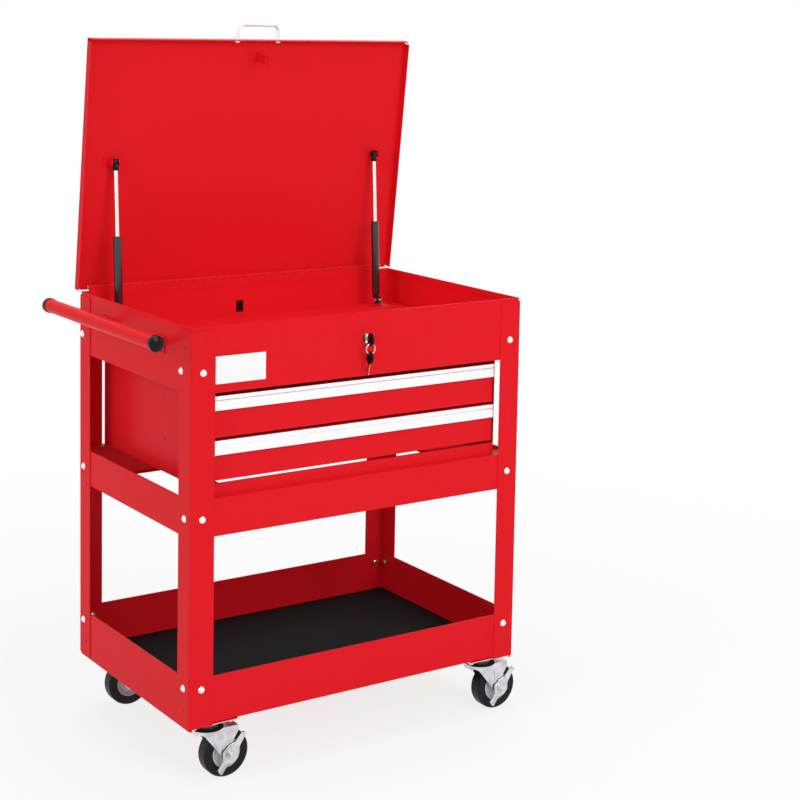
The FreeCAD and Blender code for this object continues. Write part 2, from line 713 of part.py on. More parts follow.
def lid_handle():
    """Return the wire handle on the lid's front lip, with a washer and nut on each leg."""
    front = lid_sy(LID_LENGTH)
    level = HINGE_Z + 4.5
    x0 = LOCK_X - WIRE_SPAN / 2
    x1 = LOCK_X + WIRE_SPAN / 2
    reach = front - WIRE_REACH
    bend = WIRE_BEND
    slant = bend * (1 - math.sqrt(0.5))
    inner = front + 6.0
    edges = [
        Part.makeLine(Vector(x0, inner, level), Vector(x0, reach + bend, level)),
        Part.Arc(
            Vector(x0, reach + bend, level),
            Vector(x0 + slant, reach + slant, level),
            Vector(x0 + bend, reach, level),
        ).toShape(),
        Part.makeLine(Vector(x0 + bend, reach, level), Vector(x1 - bend, reach, level)),
        Part.Arc(
            Vector(x1 - bend, reach, level),
            Vector(x1 - slant, reach + slant, level),
            Vector(x1, reach + bend, level),
        ).toShape(),
        Part.makeLine(Vector(x1, reach + bend, level), Vector(x1, inner, level)),
    ]
    path = Part.Wire(edges)
    section = Part.Wire([Part.makeCircle(WIRE_RADIUS, Vector(x0, inner, level), Y_AXIS)])
    return lid_place(path.makePipeShell([section], True, False))


def lid_handle_nuts():
    """Return the push nuts that hold the wire handle inside the lid's lip."""
    front = lid_sy(LID_LENGTH) + SHEET * 2
    shapes = []
    for x in (LOCK_X - WIRE_SPAN / 2, LOCK_X + WIRE_SPAN / 2):
        washer = rod((x, front, HINGE_Z + 4.5), Y_AXIS, 7.0, 2.0)
        shapes.append(washer.cut(rod((x, front - 1, HINGE_Z + 4.5), Y_AXIS, WIRE_RADIUS + 0.02, 5)))
    return lid_place(Part.makeCompound(shapes))


def latch_strike():
    """Return the strike under the lid: a foot and a leg with a window for the lock's hook."""
    under = HINGE_Z + LID_HEIGHT - SHEET
    foot = box(LOCK_X - 15, 10, under - 2, LOCK_X + 5, 30, under)
    leg = box(LOCK_X + 3, 10, LOCK_Z + 15, LOCK_X + 5, 30, under)
    window = box(LOCK_X, 15, LOCK_Z + 21, LOCK_X + 8, 26, LOCK_Z + 33)
    return lid_place(fuse([foot, leg]).cut(window))


def lock_body():
    """Return the lock's fixed barrel with its bezel."""
    start = (LOCK_X, -1.0, LOCK_Z)
    bezel = rod(start, Y_AXIS, 9.5, 3.0)
    barrel = rod(start, Y_AXIS, 8.0, 18.0)
    bore = rod((LOCK_X, -5, LOCK_Z), Y_AXIS, 5.55, 40)
    return fuse([bezel, barrel]).cut(bore)


def lock_nut():
    """Return the hexagonal nut that clamps the lock behind the front wall."""
    start = (LOCK_X, POST_SHEET + SHEET, LOCK_Z)
    nut = hexagon(start, Y_AXIS, 21.0, 4.0)
    return nut.cut(rod((LOCK_X, 0, LOCK_Z), Y_AXIS, 8.02, 20))


def lock_plug():
    """Return the lock's turning plug, slotted for the key."""
    plug = rod((LOCK_X, -1.2, LOCK_Z), Y_AXIS, 5.5, 21.2)
    slot = box(LOCK_X - 1.15, -5, LOCK_Z - 4.1, LOCK_X + 1.15, 16, LOCK_Z + 4.1)
    return plug.cut(slot)


def lock_cam():
    """Return the lock's hooked cam, turned to its unlocked side."""
    arm = box(LOCK_X - 28, 20.0, LOCK_Z - 8, LOCK_X + 6, 22.5, LOCK_Z - 2)
    boss = rod((LOCK_X, 20.0, LOCK_Z), Y_AXIS, 8.0, 2.5)
    finger = box(LOCK_X - 28, 20.0, LOCK_Z - 8, LOCK_X - 23, 22.5, LOCK_Z + 12)
    return fuse([arm, boss, finger])


def key_blank(x, y_bow, z_bow, blade_axis, blade_length):
    """Return a plain key with a thick oval bow, in the plane X = x."""
    half_width = KEY_BOW_WIDTH / 2
    half_height = KEY_BOW_HEIGHT / 2
    corners = ((-1, -1), (1, -1), (1, 1), (-1, 1))
    oval = [(y_bow + u * half_width, z_bow + v * half_height, half_width - 0.5) for u, v in corners]
    bow = prism(oval, "YZ", x - KEY_BOW_THICKNESS / 2, KEY_BOW_THICKNESS)
    blade_start = Vector(x - 1.0, y_bow, z_bow)
    blade = Part.makeBox(2.0, 7.6, blade_length, Vector(-1.0, -3.8, 0))
    blade.Placement = FreeCAD.Placement(blade_start + Vector(1.0, 0, 0), FreeCAD.Rotation(Z_AXIS, blade_axis))
    return fuse([bow, blade])


def key_in_lock():
    """Return the key that stands in the lock."""
    y_bow = -17.0
    key = key_blank(LOCK_X, y_bow, LOCK_Z, Y_AXIS, 32.0)
    return key.cut(rod((LOCK_X - 4, y_bow, LOCK_Z - 8.5), X_AXIS, 2.3, 8))


RING_TOP = (LOCK_X, -17.0, LOCK_Z - 8.5)
RING_RADIUS = 10.6


def key_ring():
    """Return the wire ring through the key's bow."""
    centre = Vector(LOCK_X, RING_TOP[1], RING_TOP[2] - RING_RADIUS)
    return Part.makeTorus(RING_RADIUS, 0.8, centre, Y_AXIS)


def spare_key():
    """Return the second key, which hangs from the ring and leans back to the front wall."""
    hang = Vector(LOCK_X, RING_TOP[1], RING_TOP[2] - 2 * RING_RADIUS)
    key = key_blank(LOCK_X, hang.y, hang.z - 8.5, Vector(0, 0, -1), 38.0)
    key = key.cut(rod((LOCK_X - 4, hang.y, hang.z), X_AXIS, 2.3, 8))
    key.rotate(hang, X_AXIS, 12.0)
    return key


def strut_line():
    """Return the strut's foot, unit direction and length to its head pivot, in the open pose."""
    head = Vector(0, lid_sy(STRUT_HEAD_S), HINGE_Z + STRUT_HEAD_OFF)
    marker = Part.Vertex(head)
    marker.rotate(Vector(0, HINGE_Y, HINGE_Z), X_AXIS, -LID_OPEN)
    head = marker.Point
    foot = Vector(0, STRUT_FOOT_Y, STRUT_FOOT_Z)
    span = head - foot
    return foot, span * (1 / span.Length), span.Length


def along_strut(shape):
    """Move a shape modelled up Z from the origin onto the left strut's line."""
    foot, direction, _ = strut_line()
    placed = shape.copy()
    placed.Placement = FreeCAD.Placement(
        Vector(STRUT_X, foot.y, foot.z), FreeCAD.Rotation(Z_AXIS, direction)
    ).multiply(placed.Placement)
    return placed


def strut_tube():
    """Return the left strut's pressure tube with its end eye and rod guide."""
    body = rod((0, 0, 16), Z_AXIS, STRUT_TUBE_RADIUS, STRUT_TUBE_END - 16)
    cavity = rod((0, 0, 20), Z_AXIS, STRUT_BORE_RADIUS, STRUT_TUBE_END - 28)
    guide = rod((0, 0, 100), Z_AXIS, STRUT_ROD_RADIUS + 0.06, 120)
    tongue = box(-4, -6.5, 0, 4, 6.5, 18)
    eye = rod((-4, 0, 0), X_AXIS, 7.5, 8)
    bore = rod((-6, 0, 0), X_AXIS, 4.06, 12)
    return along_strut(cut(fuse([body, tongue, eye]), [cavity, guide, bore]))


def strut_rod():
    """Return the left strut's rod with its piston and the socket at its head."""
    _, _, length = strut_line()
    shaft = rod((0, 0, STRUT_PISTON), Z_AXIS, STRUT_ROD_RADIUS, length - 8 - STRUT_PISTON)
    piston = rod((0, 0, STRUT_PISTON), Z_AXIS, STRUT_BORE_RADIUS - 0.1, 8)
    neck = rod((0, 0, length - 16), Z_AXIS, 5.8, 12)
    socket = rod((-6, 0, length), X_AXIS, 6.5, 12)
    return along_strut(fuse([shaft, piston, neck, socket]))


def strut_feet():
    """Return the two brackets on the box floor with the pins of the struts' lower eyes."""
    top = BOX_FLOOR + SHEET
    y = STRUT_FOOT_Y
    z = STRUT_FOOT_Z
    base = box(STRUT_X - 30, y - 14, top, STRUT_X - 9, y + 14, top + 2)
    upright = box(STRUT_X - 11, y - 9, top, STRUT_X - 9, y + 9, z + 9)
    pin = rod((STRUT_X - 11, y, z), X_AXIS, 4.0, 17)
    clip = rod((STRUT_X + 4.4, y, z), X_AXIS, 5.5, 1.6)
    foot = fuse([base, upright, pin, clip])
    return Part.makeCompound([foot, mirror_x(foot)])


def strut_lid_studs():
    """Return the two angle brackets under the lid with the studs at the struts' heads."""
    under = HINGE_Z + LID_HEIGHT - SHEET
    y = lid_sy(STRUT_HEAD_S)
    z = HINGE_Z + STRUT_HEAD_OFF
    base = box(STRUT_X - 22, y - 10, under - 2, STRUT_X - 9, y + 10, under)
    upright = box(STRUT_X - 11, y - 7, z - 6, STRUT_X - 9, y + 7, under)
    stud = rod((STRUT_X - 11, y, z), X_AXIS, 3.5, 4.5)
    bracket = fuse([base, upright, stud])
    return lid_place(Part.makeCompound([bracket, mirror_x(bracket)]))


def frame_bolts():
    """Return the domed bolts through the posts, each with its nut inside."""
    shapes = []
    for point, outward in bolt_places():
        inward = outward * -1
        start = Vector(*point)
        head = dome(point, outward, BOLT_HEAD_RADIUS, BOLT_HEAD_HEIGHT)
        shank = Part.makeCylinder(BOLT_RADIUS, 13, start, inward)
        shapes.append(fuse([head, shank]))
    return Part.makeCompound(shapes)


def frame_nuts():
    """Return the hexagonal nuts inside the walls at the frame bolts."""
    shapes = []
    for point, outward in bolt_places():
        inward = outward * -1
        seat = Vector(*point) + inward * (POST_SHEET + SHEET)
        nut = hexagon((seat.x, seat.y, seat.z), inward, NUT_FLATS, NUT_HEIGHT)
        shapes.append(nut.cut(Part.makeCylinder(BOLT_RADIUS + 0.03, 30, Vector(*point), inward)))
    return Part.makeCompound(shapes)


def caster_top(x, y):
    """Return one caster's plate with its pressed race cup and kingpin."""
    corners = ((x - 50.5, y - 31), (x + 50.5, y - 31), (x + 50.5, y + 31), (x - 50.5, y + 31))
    plate = prism([(u, v, 6.0) for u, v in corners], "XY", 122.0, 3.0)
    cup = Part.makeCone(24.0, 27.0, 9.2, Vector(x, y, 112.8), Z_AXIS)
    pin = rod((x, y, 101.6), Z_AXIS, KINGPIN_RADIUS, 21)
    head = rod((x, y, 101.4), Z_AXIS, 9.5, 2.6)
    holes = []
    for dx in (-40.0, 40.0):
        for dy in (-22.0, 22.0):
            holes.append(rod((x + dx, y + dy, 120), Z_AXIS, 3.15, 9))
    return cut(fuse([plate, cup, pin, head]), holes)


def caster_points():
    """Return the swivel axis of each caster by name."""
    return {
        "front_left": (SWIVEL_X, SWIVEL_Y),
        "front_right": (WIDTH - SWIVEL_X, SWIVEL_Y),
        "rear_left": (SWIVEL_X, DEPTH - SWIVEL_Y),
        "rear_right": (WIDTH - SWIVEL_X, DEPTH - SWIVEL_Y),
    }


def caster_plates():
    """Return the four caster plates."""
    return Part.makeCompound([caster_top(x, y) for x, y in caster_points().values()])


def caster_bolts():
    """Return the bolts and nuts between the channels and the caster plates."""
    shapes = []
    for x, y in caster_bolt_points():
        head = rod((x, y, 127), Z_AXIS, 5.5, 2.6)
        shank = rod((x, y, 116.5), Z_AXIS, 3.0, 11)
        nut = hexagon((x, y, 118), Z_AXIS, 10.0, 4.0)
        nut = nut.cut(rod((x, y, 110), Z_AXIS, 3.03, 20))
        for shape in (fuse([head, shank]), nut):
            shapes += [shape, mirror_x(shape)]
    return Part.makeCompound(shapes)


def leg_sheet(spread, side):
    """Return a fork leg's sheet seen from above, about the wheel axis, spread out from its inside.

    The leg is flat beside the wheel and bends inwards ahead of it. It runs the full height and is
    trimmed afterwards.
    """
    inner = LEG_INNER
    front = inner - LEG_NARROWING
    corners = (
        (LEG_FRONT, front, 0),
        (LEG_CREASE, inner, 12),
        (LEG_REAR, inner, 0),
        (LEG_REAR, inner + spread, 0),
        (LEG_CREASE, inner + spread, 12),
        (LEG_FRONT, front + spread, 0),
    )
    points = [(u, v * side, radius) if radius else (u, v * side) for u, v, radius in corners]
    return prism(points, "XY", 30.0, 77.5)


def caster_fork(x, y):
    """Return one fork: race plate, crown and two creased legs that trail to the right."""
    wx = x + TRAIL
    side_view = [
        (LEG_FRONT, 107.5, 1.0),
        (LEG_FRONT, 103.0, 3.0),
        (-51.0, 95.0, 10.0),
        (-21.0, 56.0, 6.0),
        (-9.5, 37.5, 9.0),
        (9.5, 37.5, 9.0),
        (9.5, 76.0, 12.0),
        (LEG_REAR, 95.0, 6.0),
        (LEG_REAR, 107.5, 1.0),
    ]
    blank = prism(side_view, "XZ", -60.0, 120.0)
    legs = [leg_sheet(LEG_SHEET, side).common(blank) for side in (1, -1)]
    outer = LEG_INNER + LEG_SHEET
    front = outer - LEG_NARROWING
    half_crown = [(LEG_FRONT, front), (LEG_CREASE, outer, 12.0), (LEG_REAR, outer)]
    rim = half_crown + [(point[0], -point[1], *point[2:]) for point in reversed(half_crown)]
    crown = prism(rim, "XY", 104.4, 3.1)
    lip = box(LEG_FRONT, -front, 98.5, LEG_FRONT + LEG_SHEET, front, 106.0)
    pad = [(-13.0, 60.0, 2.0), (-13.0, 95.0, 3.0), (5.5, 95.0, 3.0), (9.0, 76.0, 8.0), (4.0, 62.0, 4.0)]
    pads = [prism(pad, "XZ", -outer - 0.9, 1.5), prism(pad, "XZ", outer - 0.6, 1.5)]
    fork = fuse(legs + [crown, lip] + pads)
    fork.translate(Vector(wx, y, 0))
    race = rod((x, y, 107.0), Z_AXIS, 24.0, 5.3)
    holes = [
        rod((x, y, 95), Z_AXIS, KINGPIN_HOLE, 30),
        rod((wx, y - 40, WHEEL_RADIUS), Y_AXIS, AXLE_HOLE, 80),
    ]
    return cut(fuse([fork, race]), holes)


def caster_axle(x, y, brake):
    """Return one axle bolt and its flanged nut as two solids."""
    outer = LEG_INNER + LEG_SHEET
    gap = BRAKE_GAP + BRAKE_SHEET + 0.3 if brake else 0.0
    wx = x + TRAIL
    head = hexagon((wx, y + outer, WHEEL_RADIUS), Y_AXIS, 13.0, 5.0)
    shank = rod((wx, y - outer - gap - 8.5, WHEEL_RADIUS), Y_AXIS, AXLE_RADIUS, 2 * outer + gap + 9.5)
    start = y - outer - gap
    washer = rod((wx, start, WHEEL_RADIUS), Vector(0, -1, 0), WASHER_RADIUS, WASHER_HEIGHT)
    nut = fuse([washer, hexagon((wx, start - WASHER_HEIGHT, WHEEL_RADIUS), Vector(0, -1, 0), 11.0, 5.6)])
    nut = nut.cut(rod((wx, y - 60, WHEEL_RADIUS), Y_AXIS, AXLE_RADIUS + 0.02, 60))
    return Part.makeCompound([fuse([head, shank]), nut])


def caster_hub(x, y):
    """Return one wheel centre: a dished disc with a long boss."""
    wx = x + TRAIL
    half = WHEEL_WIDTH / 2
    profile = [
        (AXLE_HOLE, -HUB_BOSS),
        (9.0, -HUB_BOSS, 1.0),
        (12.0, -12.5, 2.0),
        (24.0, -10.5, 2.0),
        (27.5, -half + 1.0, 1.0),
        (HUB_RADIUS, -half + 1.0),
        (HUB_RADIUS, half - 1.0),
        (27.5, half - 1.0, 1.0),
        (24.0, 10.5, 2.0),
        (12.0, 12.5, 2.0),
        (9.0, HUB_BOSS, 1.0),
        (AXLE_HOLE, HUB_BOSS),
    ]
    face = Part.Face(outline(profile, "XY", 0))
    hub = face.revolve(Vector(0, 0, 0), Y_AXIS, 360)
    hub.translate(Vector(wx, y, WHEEL_RADIUS))
    return hub


def caster_tyre(x, y):
    """Return one tyre with rounded shoulders."""
    half = WHEEL_WIDTH / 2
    profile = [
        (HUB_RADIUS, -half + 0.5),
        (HUB_RADIUS + 3, -half, 1.0),
        (WHEEL_RADIUS, -half, 5.0),
        (WHEEL_RADIUS, half, 5.0),
        (HUB_RADIUS + 3, half, 1.0),
        (HUB_RADIUS, half - 0.5),
    ]
    face = Part.Face(outline(profile, "XY", 0))
    tyre = face.revolve(Vector(0, 0, 0), Y_AXIS, 360)
    tyre.translate(Vector(x + TRAIL, y, WHEEL_RADIUS))
    return tyre


def brake_lever(x, y):
    """Return one side brake lever, which turns on the axle outside the fork's front leg.

    A round lobe surrounds the axle. The pedal rises behind it, and the toe reaches down ahead of it
    with a turned-out rim.
    """
    outer = LEG_INNER + LEG_SHEET
    profile = [
        (-27.0, -27.0, 2.0),
        (-20.5, -37.0, 2.0),
        (-7.0, -17.5, 5.0),
        (9.0, -17.0, 8.0),
        (19.5, -6.0, 8.0),
        (20.0, 10.0, 8.0),
        (37.5, 38.5, 4.5),
        (28.5, 44.5, 4.5),
        (13.0, 25.0, 8.0),
        (-3.0, 19.0, 8.0),
        (-15.5, 7.0, 9.0),
        (-15.0, -10.0, 8.0),
    ]
    start = -outer - BRAKE_GAP - BRAKE_SHEET
    plate = prism(profile, "XZ", start, BRAKE_SHEET)
    rim_profile = [(-27.0, -27.0), (-20.5, -37.0), (-8.0, -19.0), (-9.3, -18.1), (-20.5, -34.3), (-25.7, -26.2)]
    rim = prism(rim_profile, "XZ", start - 3.5, 4.5)
    fold_profile = [(36.0, 38.0), (29.0, 42.6), (30.0, 44.2), (37.0, 39.6)]
    fold = prism(fold_profile, "XZ", start - 5.0, 6.0)
    lever = fuse([plate, rim.common(prism(profile, "XZ", start - 10, 20)), fold])
    lever = lever.cut(rod((0, start - 5, 0), Y_AXIS, AXLE_HOLE, 30))
    lever.translate(Vector(x + TRAIL, y, WHEEL_RADIUS))
    return lever


def build():
    """Return every node of the cart by name, in cart axes."""
    nodes = {
        "corner_posts": corner_posts(),
        "top_box": top_box(),
        "middle_frame": middle_frame(),
        "bottom_tray": bottom_tray(),
        "tray_mat": tray_mat(),
        "caster_channels": caster_channels(),
        "drawer_housing": drawer_housing(),
        "slide_outer_members": slide_outer_members(),
        "small_fasteners": Part.makeCompound([slide_rivets(), handle_screws(), lock_nut()]),
        "side_handle_tube": side_handle_tube(),
        "handle_end_caps": handle_end_caps(),
        "handle_brackets": handle_brackets(),
        "label_plate": label_plate(),
        "rear_grommet": rear_grommet(),
        "lid_pan": lid_pan(),
        "hinge_leaf_box": hinge_leaf_box(),
        "hinge_leaf_lid": hinge_leaf_lid(),
        "hinge_pin": hinge_pin(),
        "lid_handle": Part.makeCompound([lid_handle(), lid_handle_nuts()]),
        "latch_strike": latch_strike(),
        "lock_body": lock_body(),
        "lock_plug": lock_plug(),
        "lock_cam": lock_cam(),
        "key_in_lock": key_in_lock(),
        "key_ring": key_ring(),
        "spare_key": spare_key(),
        "strut_feet": strut_feet(),
        "strut_lid_studs": strut_lid_studs(),
        "frame_bolts": frame_bolts(),
        "frame_nuts": frame_nuts(),
        "caster_plates": caster_plates(),
        "caster_bolts": caster_bolts(),
    }
    for kind in DRAWERS:
        nodes["drawer_" + kind] = drawer(kind)
        nodes["drawer_pull_" + kind] = drawer_pull(kind)
        nodes["slide_inner_" + kind] = slide_inner_members(kind)
    tube = strut_tube()
    shaft = strut_rod()
    nodes["strut_tube_left"] = tube
    nodes["strut_rod_left"] = shaft
    nodes["strut_tube_right"] = mirror_x(tube)
    nodes["strut_rod_right"] = mirror_x(shaft)
    for name, (x, y) in caster_points().items():
        brake = name.startswith("front")
        nodes["caster_fork_" + name] = caster_fork(x, y)
        nodes["caster_axle_" + name] = caster_axle(x, y, brake)
        nodes["caster_hub_" + name] = caster_hub(x, y)
        nodes["caster_tyre_" + name] = caster_tyre(x, y)
        if brake:
            nodes["brake_lever_" + name] = brake_lever(x, y)
    return nodes


def frame_shift(nodes):
    """Return the move that puts the origin at the middle of the bounding box's bottom."""
    bounds = Part.makeCompound(list(nodes.values())).optimalBoundingBox(False, False)
    return Vector(-(bounds.XMin + bounds.XMax) / 2, -(bounds.YMin + bounds.YMax) / 2, -bounds.ZMin)


def main():
    """Write one STEP file per node."""
    os.makedirs("parts", exist_ok=True)
    nodes = build()
    shift = frame_shift(nodes)
    print("shift", round(shift.x, 4), round(shift.y, 4), round(shift.z, 4))
    for name, shape in nodes.items():
        moved = shape.copy()
        moved.translate(shift)
        moved.exportStep("parts/" + name + ".step")
    print(len(nodes), "nodes")


if __name__ == "__main__":
    main()
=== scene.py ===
"""Looks of a red steel service cart with an open lid, two drawers and four swivel casters.

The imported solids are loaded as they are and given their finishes. Pieces whose relief is too fine
for the solids are worked out here as surfaces and take the solids' places. All lengths are metres.
"""

import json
import logging
import math
from dataclasses import dataclass, field
from enum import Enum
from typing import Any

import bmesh
import bpy
import numpy as np
from mathutils import Matrix, Vector

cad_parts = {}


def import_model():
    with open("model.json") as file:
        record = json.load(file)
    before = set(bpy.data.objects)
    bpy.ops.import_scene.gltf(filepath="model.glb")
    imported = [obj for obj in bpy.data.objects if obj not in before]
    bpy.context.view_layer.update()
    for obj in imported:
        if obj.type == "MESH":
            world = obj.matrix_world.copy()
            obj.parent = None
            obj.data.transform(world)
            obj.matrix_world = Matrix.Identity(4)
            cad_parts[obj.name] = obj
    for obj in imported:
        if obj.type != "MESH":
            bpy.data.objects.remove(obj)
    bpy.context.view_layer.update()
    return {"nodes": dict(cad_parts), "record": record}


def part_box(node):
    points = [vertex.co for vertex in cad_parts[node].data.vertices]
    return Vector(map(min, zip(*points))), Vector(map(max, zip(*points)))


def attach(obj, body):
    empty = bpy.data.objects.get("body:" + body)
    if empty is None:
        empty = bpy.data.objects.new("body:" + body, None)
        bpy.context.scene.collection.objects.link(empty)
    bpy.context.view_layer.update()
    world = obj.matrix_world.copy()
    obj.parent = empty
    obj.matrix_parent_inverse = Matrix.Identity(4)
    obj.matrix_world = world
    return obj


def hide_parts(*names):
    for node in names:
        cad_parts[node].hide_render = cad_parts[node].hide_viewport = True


LOG = logging.getLogger("service_cart")
MM = 0.001
MERGE_DISTANCE = 0.0005 * MM
SHARP_ANGLE = math.radians(38.0)
WHITE = (1.0, 1.0, 1.0, 1.0)

Colour = tuple[float, float, float, float]
Triple = tuple[float, float, float]
Outline = tuple[tuple[float, float], ...]
Nodes = dict[str, bpy.types.Object]
Joints = dict[str, dict]


def linear(red: int, green: int, blue: int) -> Colour:
    """Turn a colour written in 0 to 255 display steps into the shader's linear values.

    Args:
        red: Red step.
        green: Green step.
        blue: Blue step.

    Returns:
        Red, green, blue and an alpha of 1.
    """
    steps = np.array([red, green, blue]) / 255
    values = np.where(steps <= 0.04045, steps / 12.92, ((steps + 0.055) / 1.055) ** 2.4)
    return (*[float(value) for value in values], 1.0)


class Wire:
    """One output socket of a shader node, on which sums are written as expressions."""

    def __init__(self, sheet: "ShaderSheet", socket: bpy.types.NodeSocket) -> None:
        """Keep the sheet that the socket belongs to, and the socket."""
        self.sheet = sheet
        self.socket = socket

    def math(self, operation: str, *values: Any) -> "Wire":
        """Add one Math node that starts with this socket.

        Args:
            operation: The Math node's operation.
            values: The node's other inputs.

        Returns:
            The node's output.
        """
        inputs = {0: self, **dict(enumerate(values, 1))}
        return self.sheet.node("ShaderNodeMath", {"operation": operation}, inputs)

    def __add__(self, other: Any) -> "Wire":
        """Return the sum."""
        return self.math("ADD", other)

    def __sub__(self, other: Any) -> "Wire":
        """Return the difference."""
        return self.math("SUBTRACT", other)

    def __mul__(self, other: Any) -> "Wire":
        """Return the product."""
        return self.math("MULTIPLY", other)

    __radd__ = __add__
    __rmul__ = __mul__


class ShaderSheet:
    """The node tree of one material or of the surroundings."""

    def __init__(self, owner: bpy.types.ID) -> None:
        """Keep the material or world and empty its tree."""
        self.owner = owner
        owner.use_nodes = True
        self.tree = owner.node_tree
        self.tree.nodes.clear()

    def node(self, kind: str, settings: dict[str, Any], values: dict[Any, Any], output: Any = 0) -> Wire:
        """Add a node of any type.

        Args:
            kind: The node's type.
            settings: Its properties, set first.
            values: Its inputs by name or number, each a plain value or a Wire.
            output: The name or number of the output that is wanted.

        Returns:
            That output.
        """
        made = self.tree.nodes.new(kind)
        for key, value in settings.items():
            setattr(made, key, value)
        for key, value in values.items():
            if isinstance(value, Wire):
                self.tree.links.new(value.socket, made.inputs[key])
            else:
                made.inputs[key].default_value = value
        return Wire(self, made.outputs[output])

    def place(self, stretch: Triple = (1.0, 1.0, 1.0)) -> Wire:
        """Return the object coordinates, stretched along the axes."""
        spot = self.node("ShaderNodeTexCoord", {}, {}, "Object")
        return self.node("ShaderNodeMapping", {}, {"Vector": spot, "Scale": stretch}, "Vector")

    def noise(self, scale: float, detail: float = 2.0, stretch: Triple = (1.0, 1.0, 1.0)) -> Wire:
        """Return a noise value from 0 to 1.

        Args:
            scale: Cells per metre.
            detail: Octaves.
            stretch: Stretch of the coordinates, so that a larger one makes finer cells.

        Returns:
            The value.
        """
        values = {"Vector": self.place(stretch), "Scale": scale, "Detail": detail}
        return self.node("ShaderNodeTexNoise", {}, values, "Fac")

    def bump(self, height: Wire, depth: float, strength: float) -> Wire:
        """Return a normal bent by a height that spans depth metres."""
        values = {"Height": height, "Distance": depth, "Strength": strength}
        return self.node("ShaderNodeBump", {}, values, "Normal")

    def mixed(self, factor: Wire, first: Colour, second: Colour) -> Wire:
        """Return a colour between first and second, whose sockets have numbers 6 and 7."""
        values = {"Factor": factor, 6: first, 7: second}
        return self.node("ShaderNodeMix", {"data_type": "RGBA"}, values, 2)

    def seen(self) -> Wire:
        """Return 1 on rays from the camera, in reflections and through glass, and 0 on lighting rays."""
        kinds = ("Is Camera Ray", "Is Glossy Ray", "Is Transmission Ray")
        camera, glossy, through = (self.node("ShaderNodeLightPath", {}, {}, kind) for kind in kinds)
        return camera.math("MAXIMUM", glossy).math("MAXIMUM", through)

    def end(self, surface: Wire, kind: str = "ShaderNodeOutputMaterial") -> None:
        """Wire a shader to the tree's output."""
        self.tree.links.new(surface.socket, self.tree.nodes.new(kind).inputs["Surface"])

    def finish(self, values: dict[str, Any]) -> bpy.types.Material:
        """Add the Principled shader with those inputs and return the material."""
        self.end(self.node("ShaderNodeBsdfPrincipled", {}, values))
        return self.owner


@dataclass(frozen=True)
class PowderCoat:
    """Baked powder coat with a faint orange peel."""

    name: str
    colour: Colour
    shade: Colour
    roughness: float = 0.3
    spread: float = 0.06
    shine: float = 0.035
    shade_cells: float = 2.2
    peel_cells: float = 420.0
    peel_depth: float = 0.04 * MM
    peel_strength: float = 0.35

    def build(self) -> bpy.types.Material:
        """Mix the two reds over the piece and bend its gloss by the peel.

        Returns:
            The material.
        """
        sheet = ShaderSheet(bpy.data.materials.new(self.name))
        drift = sheet.noise(self.shade_cells, 1.0)
        peel = sheet.noise(self.peel_cells)
        return sheet.finish(
            {
                "Base Color": sheet.mixed(drift, self.colour, self.shade),
                "Roughness": self.roughness + self.spread * (peel - 0.5),
                "Specular IOR Level": self.shine,
                "Normal": sheet.bump(peel, self.peel_depth, self.peel_strength),
            }
        )


@dataclass(frozen=True)
class Rubber:
    """Matt rubber with a fine grain and a little dust."""

    name: str
    colour: Colour
    dusty: Colour
    roughness: float
    spread: float = 0.12
    shine: float = 0.2
    dust_cells: float = 26.0
    dust_detail: float = 4.0
    grain_cells: float = 900.0
    grain_depth: float = 0.1 * MM
    grain_strength: float = 0.3

    def build(self) -> bpy.types.Material:
        """Mix the dust over the rubber and bend its normal by the grain.

        Returns:
            The material.
        """
        sheet = ShaderSheet(bpy.data.materials.new(self.name))
        dust = sheet.noise(self.dust_cells, self.dust_detail)
        grain = sheet.noise(self.grain_cells)
        return sheet.finish(
            {
                "Base Color": sheet.mixed(dust, self.colour, self.dusty),
                "Roughness": self.roughness + self.spread * (grain - 0.5),
                "Specular IOR Level": self.shine,
                "Normal": sheet.bump(grain, self.grain_depth, self.grain_strength),
            }
        )


@dataclass(frozen=True)
class PlatedMetal:
    """Bare or plated metal with clouds, which on the zinc are painted shade, and marks drawn out along an
    axis.
    """

    name: str
    colour: Colour
    cloud_and_shade_colour: Colour
    roughness: float
    spread: float
    cloud_and_shade_cells: float = 18.0
    mark_cells: float = 120.0
    mark_detail: float = 3.0
    mark_depth: float = 0.02 * MM
    mark_strength: float = 0.3
    stretch: Triple = (1.0, 1.0, 1.0)

    def build(self) -> bpy.types.Material:
        """Mix the clouds, on the zinc painted shade, over the metal and bend its gloss by the marks.

        Returns:
            The material.
        """
        sheet = ShaderSheet(bpy.data.materials.new(self.name))
        marks = sheet.noise(self.mark_cells, self.mark_detail, self.stretch)
        cloud_and_shade = sheet.noise(self.cloud_and_shade_cells)
        return sheet.finish(
            {
                "Base Color": sheet.mixed(cloud_and_shade, self.colour, self.cloud_and_shade_colour),
                "Metallic": 1.0,
                "Roughness": self.roughness + self.spread * (marks - 0.5),
                "Normal": sheet.bump(marks, self.mark_depth, self.mark_strength),
            }
        )


@dataclass(frozen=True)
class Moulding:
    """Moulded plastic or smooth enamel, with or without a clear coat."""

    name: str
    colour: Colour
    roughness: float
    spread: float = 0.1
    shine: float = 0.5
    coat: float = 0.0
    coat_roughness: float = 0.08
    skin_cells: float = 300.0
    skin_depth: float = 0.04 * MM
    skin_strength: float = 0.25

    def build(self) -> bpy.types.Material:
        """Vary the gloss of one colour by the moulding's skin.

        Returns:
            The material.
        """
        sheet = ShaderSheet(bpy.data.materials.new(self.name))
        uneven = sheet.noise(self.skin_cells)
        return sheet.finish(
            {
                "Base Color": self.colour,
                "Roughness": self.roughness + self.spread * (uneven - 0.5),
                "Specular IOR Level": self.shine,
                "Coat Weight": self.coat,
                "Coat Roughness": self.coat_roughness,
                "Normal": sheet.bump(uneven, self.skin_depth, self.skin_strength),
            }
        )


